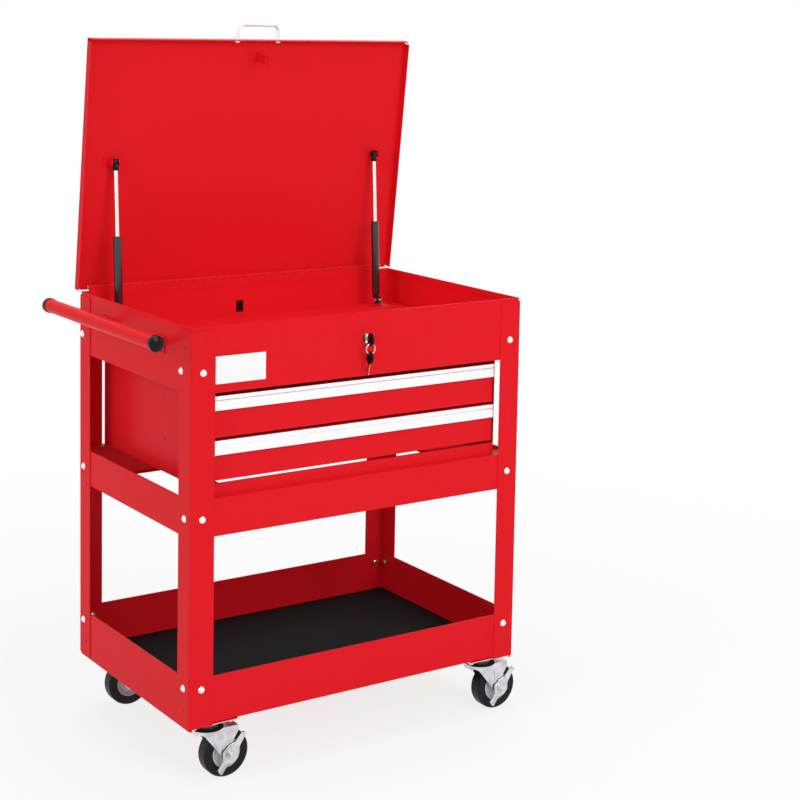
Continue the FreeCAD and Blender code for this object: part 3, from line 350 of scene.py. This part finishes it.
class Finish(Enum):
    """The cart's finishes by material slot."""

    RED_PAINT = PowderCoat("red_paint", linear(226, 30, 39), linear(221, 27, 36))
    BLACK_RUBBER = Rubber("black_rubber", linear(12, 15, 16), linear(21, 24, 25), 0.7, shine=0.12)
    BLACK_TYRE = Rubber("black_tyre", linear(12, 13, 14), linear(22, 23, 24), 0.42)
    # The zinc's darker clouds are painted shade, standing in for the grey tones of its reflections.
    ZINC_PLATE = PlatedMetal(
        "zinc_plate", linear(250, 249, 252), linear(164, 162, 170), 0.34, 0.12, cloud_and_shade_cells=55.0
    )
    CHROME_WIRE = PlatedMetal("chrome_wire", linear(246, 244, 241), linear(238, 236, 233), 0.12, 0.05)
    KEY_BRASS = PlatedMetal("key_brass", linear(186, 172, 132), linear(160, 148, 116), 0.3, 0.12)
    ALUMINIUM_STRIP = PlatedMetal(
        "aluminium_strip",
        linear(252, 252, 253),
        linear(247, 248, 250),
        0.32,
        0.12,
        mark_cells=40.0,
        stretch=(1.0, 30.0, 30.0),
    )
    BLACK_PLASTIC = Moulding("black_plastic", linear(12, 12, 15), 0.2, shine=0.16)
    BLACK_TUBE = Moulding("black_tube", linear(26, 26, 32), 0.24, coat=0.4)
    # A dark red-brown for the small fasteners.
    DARK_RED_FASTENER = Moulding("black_oxide", linear(52, 24, 28), 0.4)
    GREY_HUB = Moulding("grey_hub", linear(196, 193, 198), 0.34)
    PLATE_WHITE = Moulding("plate_white", linear(244, 245, 245), 0.35, coat=0.2)


class Paintbox:
    """The built materials, one per finish."""

    def __init__(self) -> None:
        """Start with none built."""
        self.built: dict[str, bpy.types.Material] = {}

    def get(self, finish: Finish) -> bpy.types.Material:
        """Build a finish the first time it is asked for.

        Args:
            finish: The finish.

        Returns:
            Its material.
        """
        if finish.name not in self.built:
            self.built[finish.name] = finish.value.build()
        return self.built[finish.name]

    def dress(self, nodes: Nodes, finish: Finish, *names: str) -> None:
        """Give nodes a finish.

        Args:
            nodes: The frame's nodes.
            finish: The finish.
            names: Names of nodes.
        """
        for name in names:
            mesh = nodes[name].data
            mesh.materials.clear()
            mesh.materials.append(self.get(finish))
            LOG.info("%s: %s", name, finish.value.name)


def full_turn(count: int, start: float = 0.0) -> np.ndarray:
    """Return count angles evenly round a circle from start, in radians."""
    return start + np.linspace(0, 2 * np.pi, count, endpoint=False)


def soft_square(turn: np.ndarray, power: float) -> tuple[np.ndarray, np.ndarray]:
    """Walk round a rounded square of half side 1.

    Each coordinate is the cosine or sine of the turn raised to the power with its sign kept, so 1
    gives a circle and a small power gives nearly a square.

    Args:
        turn: Angles in radians.
        power: The power.

    Returns:
        The two coordinates.
    """
    across, up = np.cos(turn), np.sin(turn)
    return np.sign(across) * np.abs(across) ** power, np.sign(up) * np.abs(up) ** power


def skin(name: str, points: np.ndarray, wrap_rows: bool, wrap_columns: bool) -> bpy.types.Object:
    """Make a mesh object from a grid of points.

    A quad joins each point with its neighbours in the next row and column. Where a direction wraps,
    the last row or column is joined to the first. Rows drawn to one point are merged into a pole, and
    then the faces are turned outwards.

    Args:
        name: The piece's name.
        points: Array of rows x columns x 3.
        wrap_rows: Whether the last row joins the first.
        wrap_columns: Whether the last column joins the first.

    Returns:
        The object.
    """
    rows, columns = points.shape[:2]
    row = np.arange(rows if wrap_rows else rows - 1)[:, None]
    column = np.arange(columns if wrap_columns else columns - 1)[None, :]
    below = (row + 1) % rows
    right = (column + 1) % columns
    corners = [
        row * columns + column,
        row * columns + right,
        below * columns + right,
        below * columns + column,
    ]
    faces = np.stack([np.broadcast_to(corner, (row.size, column.size)) for corner in corners], -1)
    mesh = bpy.data.meshes.new(name)
    mesh.from_pydata(points.reshape(-1, 3).tolist(), [], faces.reshape(-1, 4).tolist())
    form = bmesh.new()
    form.from_mesh(mesh)
    bmesh.ops.remove_doubles(form, verts=form.verts, dist=MERGE_DISTANCE)
    bmesh.ops.recalc_face_normals(form, faces=form.faces)
    form.to_mesh(mesh)
    form.free()
    mesh.polygons.foreach_set("use_smooth", np.ones(len(mesh.polygons), dtype=bool))
    mesh.set_sharp_from_angle(angle=SHARP_ANGLE)
    piece = bpy.data.objects.new(name, mesh)
    bpy.context.scene.collection.objects.link(piece)
    return piece


def turned(
    name: str, start: np.ndarray, axis: np.ndarray, reach: np.ndarray, radius: np.ndarray, count: int = 40
) -> bpy.types.Object:
    """Make a turned piece: radius(reach) carried round an axis, closed where the radius is zero.

    Args:
        name: The piece's name.
        start: Where the axis starts.
        axis: Its unit direction.
        reach: Distances along the axis.
        radius: Radius at each distance.
        count: Steps round the axis.

    Returns:
        The object.
    """
    aside = np.cross(axis, [1.0, 0.0, 0.0] if abs(axis[0]) < 0.7 else [0.0, 1.0, 0.0])
    aside = aside / np.linalg.norm(aside)
    third = np.cross(axis, aside)
    turn = full_turn(count)[:, None]
    ring = np.cos(turn) * aside + np.sin(turn) * third
    points = start + reach[:, None, None] * axis + radius[:, None, None] * ring
    return skin(name, points, False, True)


def plug_outline(length: float, radius: float, edge: Outline) -> tuple[np.ndarray, np.ndarray]:
    """Work out the outline of a round plug, which has the same softened edge at both ends.

    Args:
        length: The plug's length.
        radius: Its radius.
        edge: Points of one edge, each its distance from the end and its depth below the radius.

    Returns:
        Distances along the axis, and the radius at each, starting and ending at zero radius.
    """
    inward, depth = np.array(edge).T
    reach = np.concatenate([[0.0], inward, length - inward[::-1], [length]])
    return reach, np.concatenate([[0.0], radius - depth, radius - depth[::-1], [0.0]])


@dataclass
class RibbedMat:
    """The rubber mat on the bottom tray, with low ribs from left to right."""

    pitch: float = 5.0 * MM
    rib: float = 0.5 * MM
    steps: int = 8
    inset: float = 0.2 * MM
    edge_drop: float = 0.8 * MM

    def build(self, paintbox: Paintbox) -> None:
        """Make the mat.

        The section is a rectangle whose top is lowered by rib * (1 - cos) / 2 between ribs and by
        edge_drop at its ends. The section is carried from the left edge to the right, and its ends
        are closed to a line.

        Args:
            paintbox: Where the finish comes from.
        """
        low, high = (np.array(corner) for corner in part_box("tray_mat"))
        front, back = low[1] + self.inset, high[1] - self.inset
        count = round((back - front) / self.pitch)
        along = np.linspace(front, back, count * self.steps + 1)
        phase = (along - front) / (back - front) * count
        top = high[2] - self.rib * (1 - np.cos(2 * np.pi * phase)) / 2
        top[0] = top[-1] = high[2] - self.edge_drop
        section_y = np.concatenate([along, along[::-1]])
        section_z = np.concatenate([top, np.full(along.size, low[2])])
        middle = (low[2] + high[2] - self.edge_drop) / 2
        rows = np.array([low[0], low[0] + self.inset, high[0] - self.inset, high[0]])
        opened = np.array([0.0, 1.0, 1.0, 0.0])
        points = np.empty((rows.size, section_y.size, 3))
        points[:, :, 0] = rows[:, None]
        points[:, :, 1] = section_y
        points[:, :, 2] = middle + opened[:, None] * (section_z - middle)
        piece = skin("ribbed_mat", points, False, True)
        piece.data.materials.append(paintbox.get(Finish.BLACK_RUBBER))
        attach(piece, "frame")
        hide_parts("tray_mat")
        LOG.info("ribbed_mat: %d ribs", count)


@dataclass
class LabelFace:
    """The bare white face inside the name plate's metal edge."""

    edge: float = 1.4 * MM
    proud: float = 0.15 * MM
    steps: int = 96
    power: float = 0.12
    section: Outline = ((0.0, 0.0), (0.98, 0.0), (1.0, 0.05 * MM), (1.0, 0.2 * MM), (0.0, 0.2 * MM))

    def build(self, paintbox: Paintbox) -> None:
        """Lay the face.

        It is a rounded rectangle. Rows run from its middle out over the front, round the edge and
        back to the middle behind, so it is closed. A row of the section is its share of the half
        size and its depth behind the front.

        Args:
            paintbox: Where the finish comes from.
        """
        low, high = (np.array(corner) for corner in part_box("label_plate"))
        middle = (low + high) / 2
        half = (high - low) / 2 - self.edge
        across, up = soft_square(full_turn(self.steps), self.power)
        share, depth = np.array(self.section).T
        points = np.empty((share.size, across.size, 3))
        points[:, :, 0] = middle[0] + share[:, None] * across * half[0]
        points[:, :, 1] = low[1] - self.proud + depth[:, None]
        points[:, :, 2] = middle[2] + share[:, None] * up * half[2]
        piece = skin("label_face", points, False, True)
        piece.data.materials.append(paintbox.get(Finish.PLATE_WHITE))
        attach(piece, "frame")
        LOG.info("label_face: made")


@dataclass
class Cabinet:
    """Posts, box, middle frame, tray, drawer housing and what is fixed to them."""

    painted: tuple[str, ...] = (
        "corner_posts",
        "top_box",
        "middle_frame",
        "bottom_tray",
        "caster_channels",
        "drawer_housing",
        "side_handle_tube",
        "handle_brackets",
        "hinge_leaf_box",
    )
    plated: tuple[str, ...] = ("slide_outer_members", "frame_nuts", "hinge_pin")
    mat: RibbedMat = field(default_factory=RibbedMat)
    label: LabelFace = field(default_factory=LabelFace)

    def build(self, nodes: Nodes, paintbox: Paintbox) -> None:
        """Dress the fixed pieces, and lay the mat and the label's face.

        Args:
            nodes: The frame's nodes.
            paintbox: Where the finishes come from.
        """
        paintbox.dress(nodes, Finish.RED_PAINT, *self.painted)
        paintbox.dress(nodes, Finish.ZINC_PLATE, *self.plated)
        paintbox.dress(nodes, Finish.CHROME_WIRE, "frame_bolts")
        paintbox.dress(nodes, Finish.BLACK_PLASTIC, "handle_end_caps", "rear_grommet")
        paintbox.dress(nodes, Finish.DARK_RED_FASTENER, "small_fasteners")
        paintbox.dress(nodes, Finish.ALUMINIUM_STRIP, "label_plate")
        self.mat.build(paintbox)
        self.label.build(paintbox)


@dataclass
class StrutEnd:
    """The moulded black socket over the head of a strut's rod: a sleeve and a short barrel."""

    head_radius: float = 6.5 * MM
    sleeve_back: float = 18.0 * MM
    sleeve_length: float = 14.0 * MM
    sleeve_radius: float = 6.2 * MM
    sleeve_edge: Outline = ((0.0, 0.6 * MM), (0.15 * MM, 0.2 * MM), (0.6 * MM, 0.0))
    barrel_length: float = 12.4 * MM
    barrel_radius: float = 6.9 * MM
    barrel_edge: Outline = ((0.0, 0.8 * MM), (0.305 * MM, 0.25 * MM), (0.813 * MM, 0.0))

    def build(self, side: str, stroke: dict, paintbox: Paintbox) -> None:
        """Turn the sleeve about the rod and the barrel about the head's pivot.

        Args:
            side: Which strut.
            stroke: The joint that gives the rod's foot and direction.
            paintbox: Where the finish comes from.
        """
        foot, axis = np.array(stroke["pos_m"]), np.array(stroke["axis"])
        pivot = np.array([1.0, 0.0, 0.0])
        head_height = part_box(f"strut_rod_{side}")[1].z - self.head_radius
        length = (head_height - foot[2]) / axis[2]
        reach, radius = plug_outline(self.sleeve_length, self.sleeve_radius, self.sleeve_edge)
        sleeve = turned(f"strut_sleeve_{side}", foot, axis, reach + length - self.sleeve_back, radius)
        start = foot + axis * length - pivot * self.barrel_length / 2
        reach, radius = plug_outline(self.barrel_length, self.barrel_radius, self.barrel_edge)
        barrel = turned(f"strut_socket_{side}", start, pivot, reach, radius)
        for piece in (sleeve, barrel):
            piece.data.materials.append(paintbox.get(Finish.BLACK_PLASTIC))
            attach(piece, f"strut_rod_{side}")
            LOG.info("%s: made", piece.name)


@dataclass
class Lid:
    """The lid, its wire handle, its hinge leaf and the gas struts."""

    painted: tuple[str, ...] = ("lid_pan", "hinge_leaf_lid", "latch_strike", "strut_lid_studs")
    sides: tuple[str, str] = ("left", "right")
    strut_end: StrutEnd = field(default_factory=StrutEnd)

    def build(self, nodes: Nodes, paintbox: Paintbox, joints: Joints) -> None:
        """Dress the lid and the struts.

        Args:
            nodes: The frame's nodes.
            paintbox: Where the finishes come from.
            joints: The record's joints by name.
        """
        paintbox.dress(nodes, Finish.RED_PAINT, *self.painted)
        paintbox.dress(nodes, Finish.CHROME_WIRE, "lid_handle")
        paintbox.dress(nodes, Finish.ZINC_PLATE, "strut_feet")
        for side in self.sides:
            paintbox.dress(nodes, Finish.BLACK_TUBE, f"strut_tube_{side}")
            paintbox.dress(nodes, Finish.CHROME_WIRE, f"strut_rod_{side}")
            self.strut_end.build(side, joints[f"strut_stroke_{side}"], paintbox)


@dataclass
class Drawers:
    """The two drawers with their pull strips and inner slide members."""

    kinds: tuple[str, str] = ("upper", "lower")

    def build(self, nodes: Nodes, paintbox: Paintbox) -> None:
        """Dress the drawers.

        Args:
            nodes: The frame's nodes.
            paintbox: Where the finishes come from.
        """
        for kind in self.kinds:
            paintbox.dress(nodes, Finish.RED_PAINT, f"drawer_{kind}")
            paintbox.dress(nodes, Finish.ALUMINIUM_STRIP, f"drawer_pull_{kind}")
            paintbox.dress(nodes, Finish.ZINC_PLATE, f"slide_inner_{kind}")


@dataclass
class Key:
    """A key with a cut blade and a moulded black bow, in the plane that faces left and right.

    Positions in the key's own plane are (along, across): along runs from the bow's middle down the
    blade and across is square to it. The eye for the ring is given there too. The blade starts at
    root and ends at tip, both measured along.
    """

    name: str
    body: str
    centre: Triple
    along: Triple
    across: Triple
    eye: tuple[float, float]
    half_along: float
    half_across: float
    root: float
    tip: float
    thickness: float = 4.6 * MM
    eye_radius: float = 2.3 * MM
    rim_power: float = 0.85
    edge_power: float = 0.45
    bow_steps: tuple[int, int] = (72, 24)
    blade_half: float = 3.8 * MM
    blade_thickness: float = 2.0 * MM
    blade_power: float = 0.35
    blade_steps: tuple[int, int] = (90, 16)
    cuts: int = 5
    cut_depth: float = 2.0 * MM
    cut_slope: float = 1.6
    cut_flat: float = 0.3
    uncut_share: float = 0.2
    first_cut_slope: float = 12.0
    point_slope: float = 14.0
    point_share: float = 0.12

    def place(self, along: np.ndarray, across: np.ndarray, out: np.ndarray) -> np.ndarray:
        """Turn positions in the key's plane and out of it into points in the frame.

        Args:
            along: Distances down the blade.
            across: Distances square to it.
            out: Distances out of the plane.

        Returns:
            The points.
        """
        directions = np.array([self.along, self.across, np.cross(self.along, self.across)])
        return np.array(self.centre) + np.stack(np.broadcast_arrays(along, across, out), -1) @ directions

    def bow(self) -> bpy.types.Object:
        """Make the bow.

        Its outline is a superellipse and its eye a circle. At every angle about the eye, a rounded
        section is carried between the two, so the bow is a closed ring with soft edges.

        Returns:
            The object.
        """
        rim_along, rim_across = soft_square(full_turn(10 * self.bow_steps[0]), self.rim_power)
        rim_along = rim_along * self.half_along - self.eye[0]
        rim_across = rim_across * self.half_across - self.eye[1]
        angle = np.arctan2(rim_across, rim_along)
        order = np.argsort(angle)
        about = full_turn(self.bow_steps[0], -np.pi)[:, None]
        outline = np.interp(about, angle[order], np.hypot(rim_along, rim_across)[order], period=2 * np.pi)
        inward, out = soft_square(full_turn(self.bow_steps[1]), self.edge_power)
        radius = self.eye_radius + (outline - self.eye_radius) * (inward + 1) / 2
        along = self.eye[0] + np.cos(about) * radius
        across = self.eye[1] + np.sin(about) * radius
        return skin(f"{self.name}_bow", self.place(along, across, out * self.thickness / 2), True, True)

    def blade(self) -> bpy.types.Object:
        """Make the blade.

        It is a flat bar with rounded edges. One edge is cut by cuts waves of straight ramps, whose
        flat tops and bottoms come from clipping, and uncut_share of the bar is left without them.
        The bar narrows at its tip to point_share of its width.

        Returns:
            The object.
        """
        run = np.linspace(0.0, 1.0, self.blade_steps[0])[:, None]
        wave = np.abs((run * self.cuts * 2) % 2 - 1)
        begun = np.clip((run - self.uncut_share) * self.first_cut_slope, 0, 1)
        bite = self.cut_depth * np.clip(self.cut_slope * wave - self.cut_flat, 0, 1) * begun
        narrowing = np.clip((1 - run) * self.point_slope, self.point_share, 1)
        high = self.blade_half * narrowing
        low = -(self.blade_half - bite) * narrowing
        steps = self.blade_steps[1]
        side, out = soft_square(full_turn(steps, np.pi / steps), self.blade_power)
        opened = np.ones_like(run)
        opened[0] = opened[-1] = 0.0
        across = (high + low) / 2 + opened * side * (high - low) / 2
        out = opened * out * self.blade_thickness / 2
        along = self.root + run * (self.tip - self.root)
        return skin(f"{self.name}_blade", self.place(along, across, out), False, True)

    def build(self, paintbox: Paintbox) -> None:
        """Make both pieces in place of the plain key.

        Args:
            paintbox: Where the finishes come from.
        """
        for piece, finish in ((self.bow(), Finish.BLACK_PLASTIC), (self.blade(), Finish.KEY_BRASS)):
            piece.data.materials.append(paintbox.get(finish))
            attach(piece, self.body)
            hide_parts(self.name)
            LOG.info("%s: made", piece.name)


@dataclass
class LockAndKeys:
    """The lock in the box's front, with one key in it and a second on the ring.

    The standing key's bow is taller than it is long, and its eye is at the bottom. The hanging key
    leans forward from the ring, and its eye is at the top.
    """

    bow_half_short: float = 11.0 * MM
    bow_half_tall: float = 13.5 * MM
    eye_offset: float = 8.5 * MM
    lean: float = math.radians(12.0)
    standing_root: float = 9.0 * MM
    standing_tip: float = 32.0 * MM
    hanging_root: float = 10.5 * MM
    hanging_tip: float = 38.0 * MM

    def standing_key(self, ring: Triple) -> Key:
        """Return the key in the lock, whose eye is at ring."""
        return Key(
            "key_in_lock",
            "lock_cylinder",
            centre=(ring[0], ring[1], ring[2] + self.eye_offset),
            along=(0.0, 1.0, 0.0),
            across=(0.0, 0.0, 1.0),
            eye=(0.0, -self.eye_offset),
            half_along=self.bow_half_short,
            half_across=self.bow_half_tall,
            root=self.standing_root,
            tip=self.standing_tip,
        )

    def hanging_key(self, hang: Triple) -> Key:
        """Return the second key, whose eye is at hang."""
        down = (0.0, math.sin(self.lean), -math.cos(self.lean))
        return Key(
            "spare_key",
            "spare_key",
            centre=tuple(hang[axis] + self.eye_offset * down[axis] for axis in range(3)),
            along=down,
            across=(0.0, math.cos(self.lean), math.sin(self.lean)),
            eye=(-self.eye_offset, 0.0),
            half_along=self.bow_half_tall,
            half_across=self.bow_half_short,
            root=self.hanging_root,
            tip=self.hanging_tip,
        )

    def build(self, nodes: Nodes, paintbox: Paintbox, joints: Joints) -> None:
        """Dress the lock and make the keys.

        Args:
            nodes: The frame's nodes.
            paintbox: Where the finishes come from.
            joints: The record's joints by name.
        """
        paintbox.dress(nodes, Finish.CHROME_WIRE, "lock_body", "lock_plug", "key_ring")
        paintbox.dress(nodes, Finish.ZINC_PLATE, "lock_cam")
        self.standing_key(joints["key_ring_swing"]["pos_m"]).build(paintbox)
        self.hanging_key(joints["spare_key_swing"]["pos_m"]).build(paintbox)


@dataclass
class Casters:
    """The four swivel casters. The front two have a brake lever.

    A black ring round each swivel race is painted shade for the shaded gap between the race and the
    fork's crown. It stands on the crown, which lies crown_depth below the fork's top.
    """

    corners: tuple[str, ...] = ("front_left", "front_right", "rear_left", "rear_right")
    crown_depth: float = 4.6 * MM
    shade_ring_inside: float = 24.4 * MM
    shade_ring_outside: float = 33.5 * MM
    shade_ring_height: float = 4.2 * MM
    shade_ring_rim: float = 2.0 * MM
    shade_ring_edge: float = 0.4 * MM
    shade_ring_lip: float = 1.0 * MM
    shade_ring_taper: float = 0.3 * MM
    shade_ring_steps: int = 72

    def shade_ring(self, corner: str, pivot: Triple, paintbox: Paintbox) -> None:
        """Make the black ring of painted shade round one swivel race.

        Its section is a thin band that falls from the race to the fork's crown, and it is turned
        about the swivel axis.

        Args:
            corner: Which caster.
            pivot: A point on the swivel axis.
            paintbox: Where the finish comes from.
        """
        inside, outside = self.shade_ring_inside, self.shade_ring_outside
        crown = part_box(f"caster_fork_{corner}")[1].z - self.crown_depth
        section = (
            (inside, 0.0),
            (outside - self.shade_ring_edge, 0.0),
            (outside, self.shade_ring_edge),
            (outside - self.shade_ring_taper, self.shade_ring_lip),
            (inside + self.shade_ring_rim, self.shade_ring_height),
            (inside, self.shade_ring_height),
        )
        radius, height = np.array(section).T[:, :, None]
        turn = full_turn(self.shade_ring_steps)
        points = np.empty((radius.size, turn.size, 3))
        points[:, :, 0] = pivot[0] + radius * np.cos(turn)
        points[:, :, 1] = pivot[1] + radius * np.sin(turn)
        points[:, :, 2] = crown + height
        piece = skin(f"swivel_shade_ring_{corner}", points, True, True)
        # This ring's black is painted shade over the shaded gap round the race.
        piece.data.materials.append(paintbox.get(Finish.BLACK_RUBBER))
        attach(piece, f"swivel_{corner}")
        LOG.info("%s: made", piece.name)

    def build(self, nodes: Nodes, paintbox: Paintbox, joints: Joints) -> None:
        """Dress the casters and lay the painted shade round their races.

        Args:
            nodes: The frame's nodes.
            paintbox: Where the finishes come from.
            joints: The record's joints by name.
        """
        paintbox.dress(nodes, Finish.ZINC_PLATE, "caster_plates", "caster_bolts")
        for corner in self.corners:
            paintbox.dress(nodes, Finish.ZINC_PLATE, f"caster_fork_{corner}", f"caster_axle_{corner}")
            paintbox.dress(nodes, Finish.GREY_HUB, f"caster_hub_{corner}")
            paintbox.dress(nodes, Finish.BLACK_TYRE, f"caster_tyre_{corner}")
            if corner.startswith("front"):
                paintbox.dress(nodes, Finish.ZINC_PLATE, f"brake_lever_{corner}")
            self.shade_ring(corner, joints[f"caster_swivel_{corner}"]["pos_m"], paintbox)


@dataclass
class PictureCamera:
    """The camera that takes the picture.

    It stands at from_post, which is measured from the middle frame's front left corner to the right
    and back, and from the floor upwards. Its axis points along azimuth and down by pitch, in degrees, and
    its picture is turned by roll about the axis. The shift moves the picture so that the axis meets
    it at axis_row, counted in pixels from the top of a picture of frame_pixels.
    """

    azimuth: float = -34.323
    pitch: float = 5.8628
    roll: float = 1.0603
    from_post: Triple = (-1.5542, -2.9741, 1.5206)
    focal_pixels: float = 1762.888
    frame_pixels: float = 800.0
    axis_row: float = 200.0
    sensor: float = 36.0
    clip: tuple[float, float] = (0.05, 400.0)

    def turn(self) -> Matrix:
        """Work out the camera's turn from its right, upward and backward directions.

        Returns:
            The turn as a 4 x 4 matrix.
        """
        azimuth, pitch, roll = (math.radians(angle) for angle in (self.azimuth, self.pitch, self.roll))
        level = Vector((math.cos(azimuth), math.sin(azimuth), 0.0))
        forward = Vector((-math.sin(azimuth), math.cos(azimuth), 0.0))
        ahead = forward * math.cos(pitch) - Vector((0.0, 0.0, math.sin(pitch)))
        over = level.cross(ahead)
        right = math.cos(roll) * level + math.sin(roll) * over
        above = -math.sin(roll) * level + math.cos(roll) * over
        return Matrix((right, above, -ahead)).transposed().to_4x4()

    def build(self) -> None:
        """Place the camera and make it the scene's own."""
        data = bpy.data.cameras.new("camera")
        data.sensor_width = self.sensor
        data.lens = self.focal_pixels / self.frame_pixels * self.sensor
        data.shift_y = -(self.frame_pixels / 2 - self.axis_row) / self.frame_pixels
        data.clip_start, data.clip_end = self.clip
        camera = bpy.data.objects.new("camera", data)
        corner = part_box("middle_frame")[0]
        place = Vector((corner.x, corner.y, 0.0)) + Vector(self.from_post)
        camera.matrix_world = Matrix.Translation(place) @ self.turn()
        bpy.context.scene.collection.objects.link(camera)
        bpy.context.scene.camera = camera


@dataclass(frozen=True)
class Lamp:
    """One soft square lamp, with its place, its target, its side and its power in watts."""

    name: str
    place: Triple
    target: Triple
    size: float
    power: float

    def build(self) -> None:
        """Hang the lamp so that it points at its target."""
        data = bpy.data.lights.new(self.name, "AREA")
        data.shape = "SQUARE"
        data.size = self.size
        data.energy = self.power
        lamp = bpy.data.objects.new(self.name, data)
        lamp.location = self.place
        lamp.rotation_euler = (Vector(self.target) - lamp.location).to_track_quat("-Z", "Y").to_euler()
        bpy.context.scene.collection.objects.link(lamp)


@dataclass
class Studio:
    """Pale floor, soft lamps, white surroundings and the camera."""

    floor_half: float = 60.0
    floor_grey: float = 0.86
    white_near: float = 0.8
    fade: tuple[float, float] = (0.5, 2.4)
    soft_light: float = 0.5
    lamps: tuple[Lamp, ...] = (
        Lamp("front_lamp", (0.6, -4.2, 3.0), (0.0, 0.0, 0.8), 2.6, 90.0),
        Lamp("top_lamp", (0.3, 0.2, 4.2), (0.0, 0.0, 0.6), 2.6, 60.0),
        Lamp("left_lamp", (-4.2, -0.6, 2.2), (0.0, 0.0, 0.8), 2.4, 45.0),
    )
    camera: PictureCamera = field(default_factory=PictureCamera)

    def floor(self) -> None:
        """Lay the pale floor, which keeps the cart's soft shadow.

        Where it is seen, a white glow is mixed over its grey: white_near of it within the first
        distance of fade from the middle, and all of it beyond the second.
        """
        edges = np.array([-self.floor_half, self.floor_half])
        grid = np.stack([*np.meshgrid(edges, edges), np.zeros((2, 2))], -1)
        piece = skin("studio_floor", grid, False, False)
        sheet = ShaderSheet(bpy.data.materials.new("pale_floor"))
        away = sheet.node("ShaderNodeVectorMath", {"operation": "LENGTH"}, {0: sheet.place()}, "Value")
        near, far = self.fade
        reach = {"Value": away, "From Min": near, "From Max": far, "To Min": self.white_near, "To Max": 1.0}
        white = sheet.node("ShaderNodeMapRange", {"interpolation_type": "SMOOTHSTEP"}, reach)
        matt = sheet.node("ShaderNodeBsdfDiffuse", {}, {"Color": (*[self.floor_grey] * 3, 1.0)})
        glow = sheet.node("ShaderNodeEmission", {}, {"Color": WHITE, "Strength": 1.0})
        sheet.end(sheet.node("ShaderNodeMixShader", {}, {0: sheet.seen() * white, 1: matt, 2: glow}))
        piece.data.materials.append(sheet.owner)

    def white_world(self) -> None:
        """Make the surroundings white where they are seen, and a softer light elsewhere."""
        world = bpy.data.worlds.new("surroundings")
        bpy.context.scene.world = world
        sheet = ShaderSheet(world)
        reach = {"Value": sheet.seen(), "To Min": self.soft_light, "To Max": 1.0}
        strength = sheet.node("ShaderNodeMapRange", {}, reach)
        glow = sheet.node("ShaderNodeBackground", {}, {"Color": WHITE, "Strength": strength})
        sheet.end(glow, "ShaderNodeOutputWorld")

    def build(self) -> None:
        """Set up the floor, the light and the camera."""
        self.floor()
        self.white_world()
        for lamp in self.lamps:
            lamp.build()
        bpy.context.scene.view_settings.view_transform = "Standard"
        self.camera.build()


def main() -> None:
    """Build the looks in order."""
    logging.basicConfig(level=logging.INFO, format="%(name)s: %(message)s")
    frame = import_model()
    nodes = frame["nodes"]
    paintbox = Paintbox()
    Cabinet().build(nodes, paintbox)
    joints = {joint["name"]: joint for joint in frame["record"]["behaviour"]["joints"]}
    Lid().build(nodes, paintbox, joints)
    Drawers().build(nodes, paintbox)
    LockAndKeys().build(nodes, paintbox, joints)
    Casters().build(nodes, paintbox, joints)
    Studio().build()


if __name__ == "__main__":
    main()
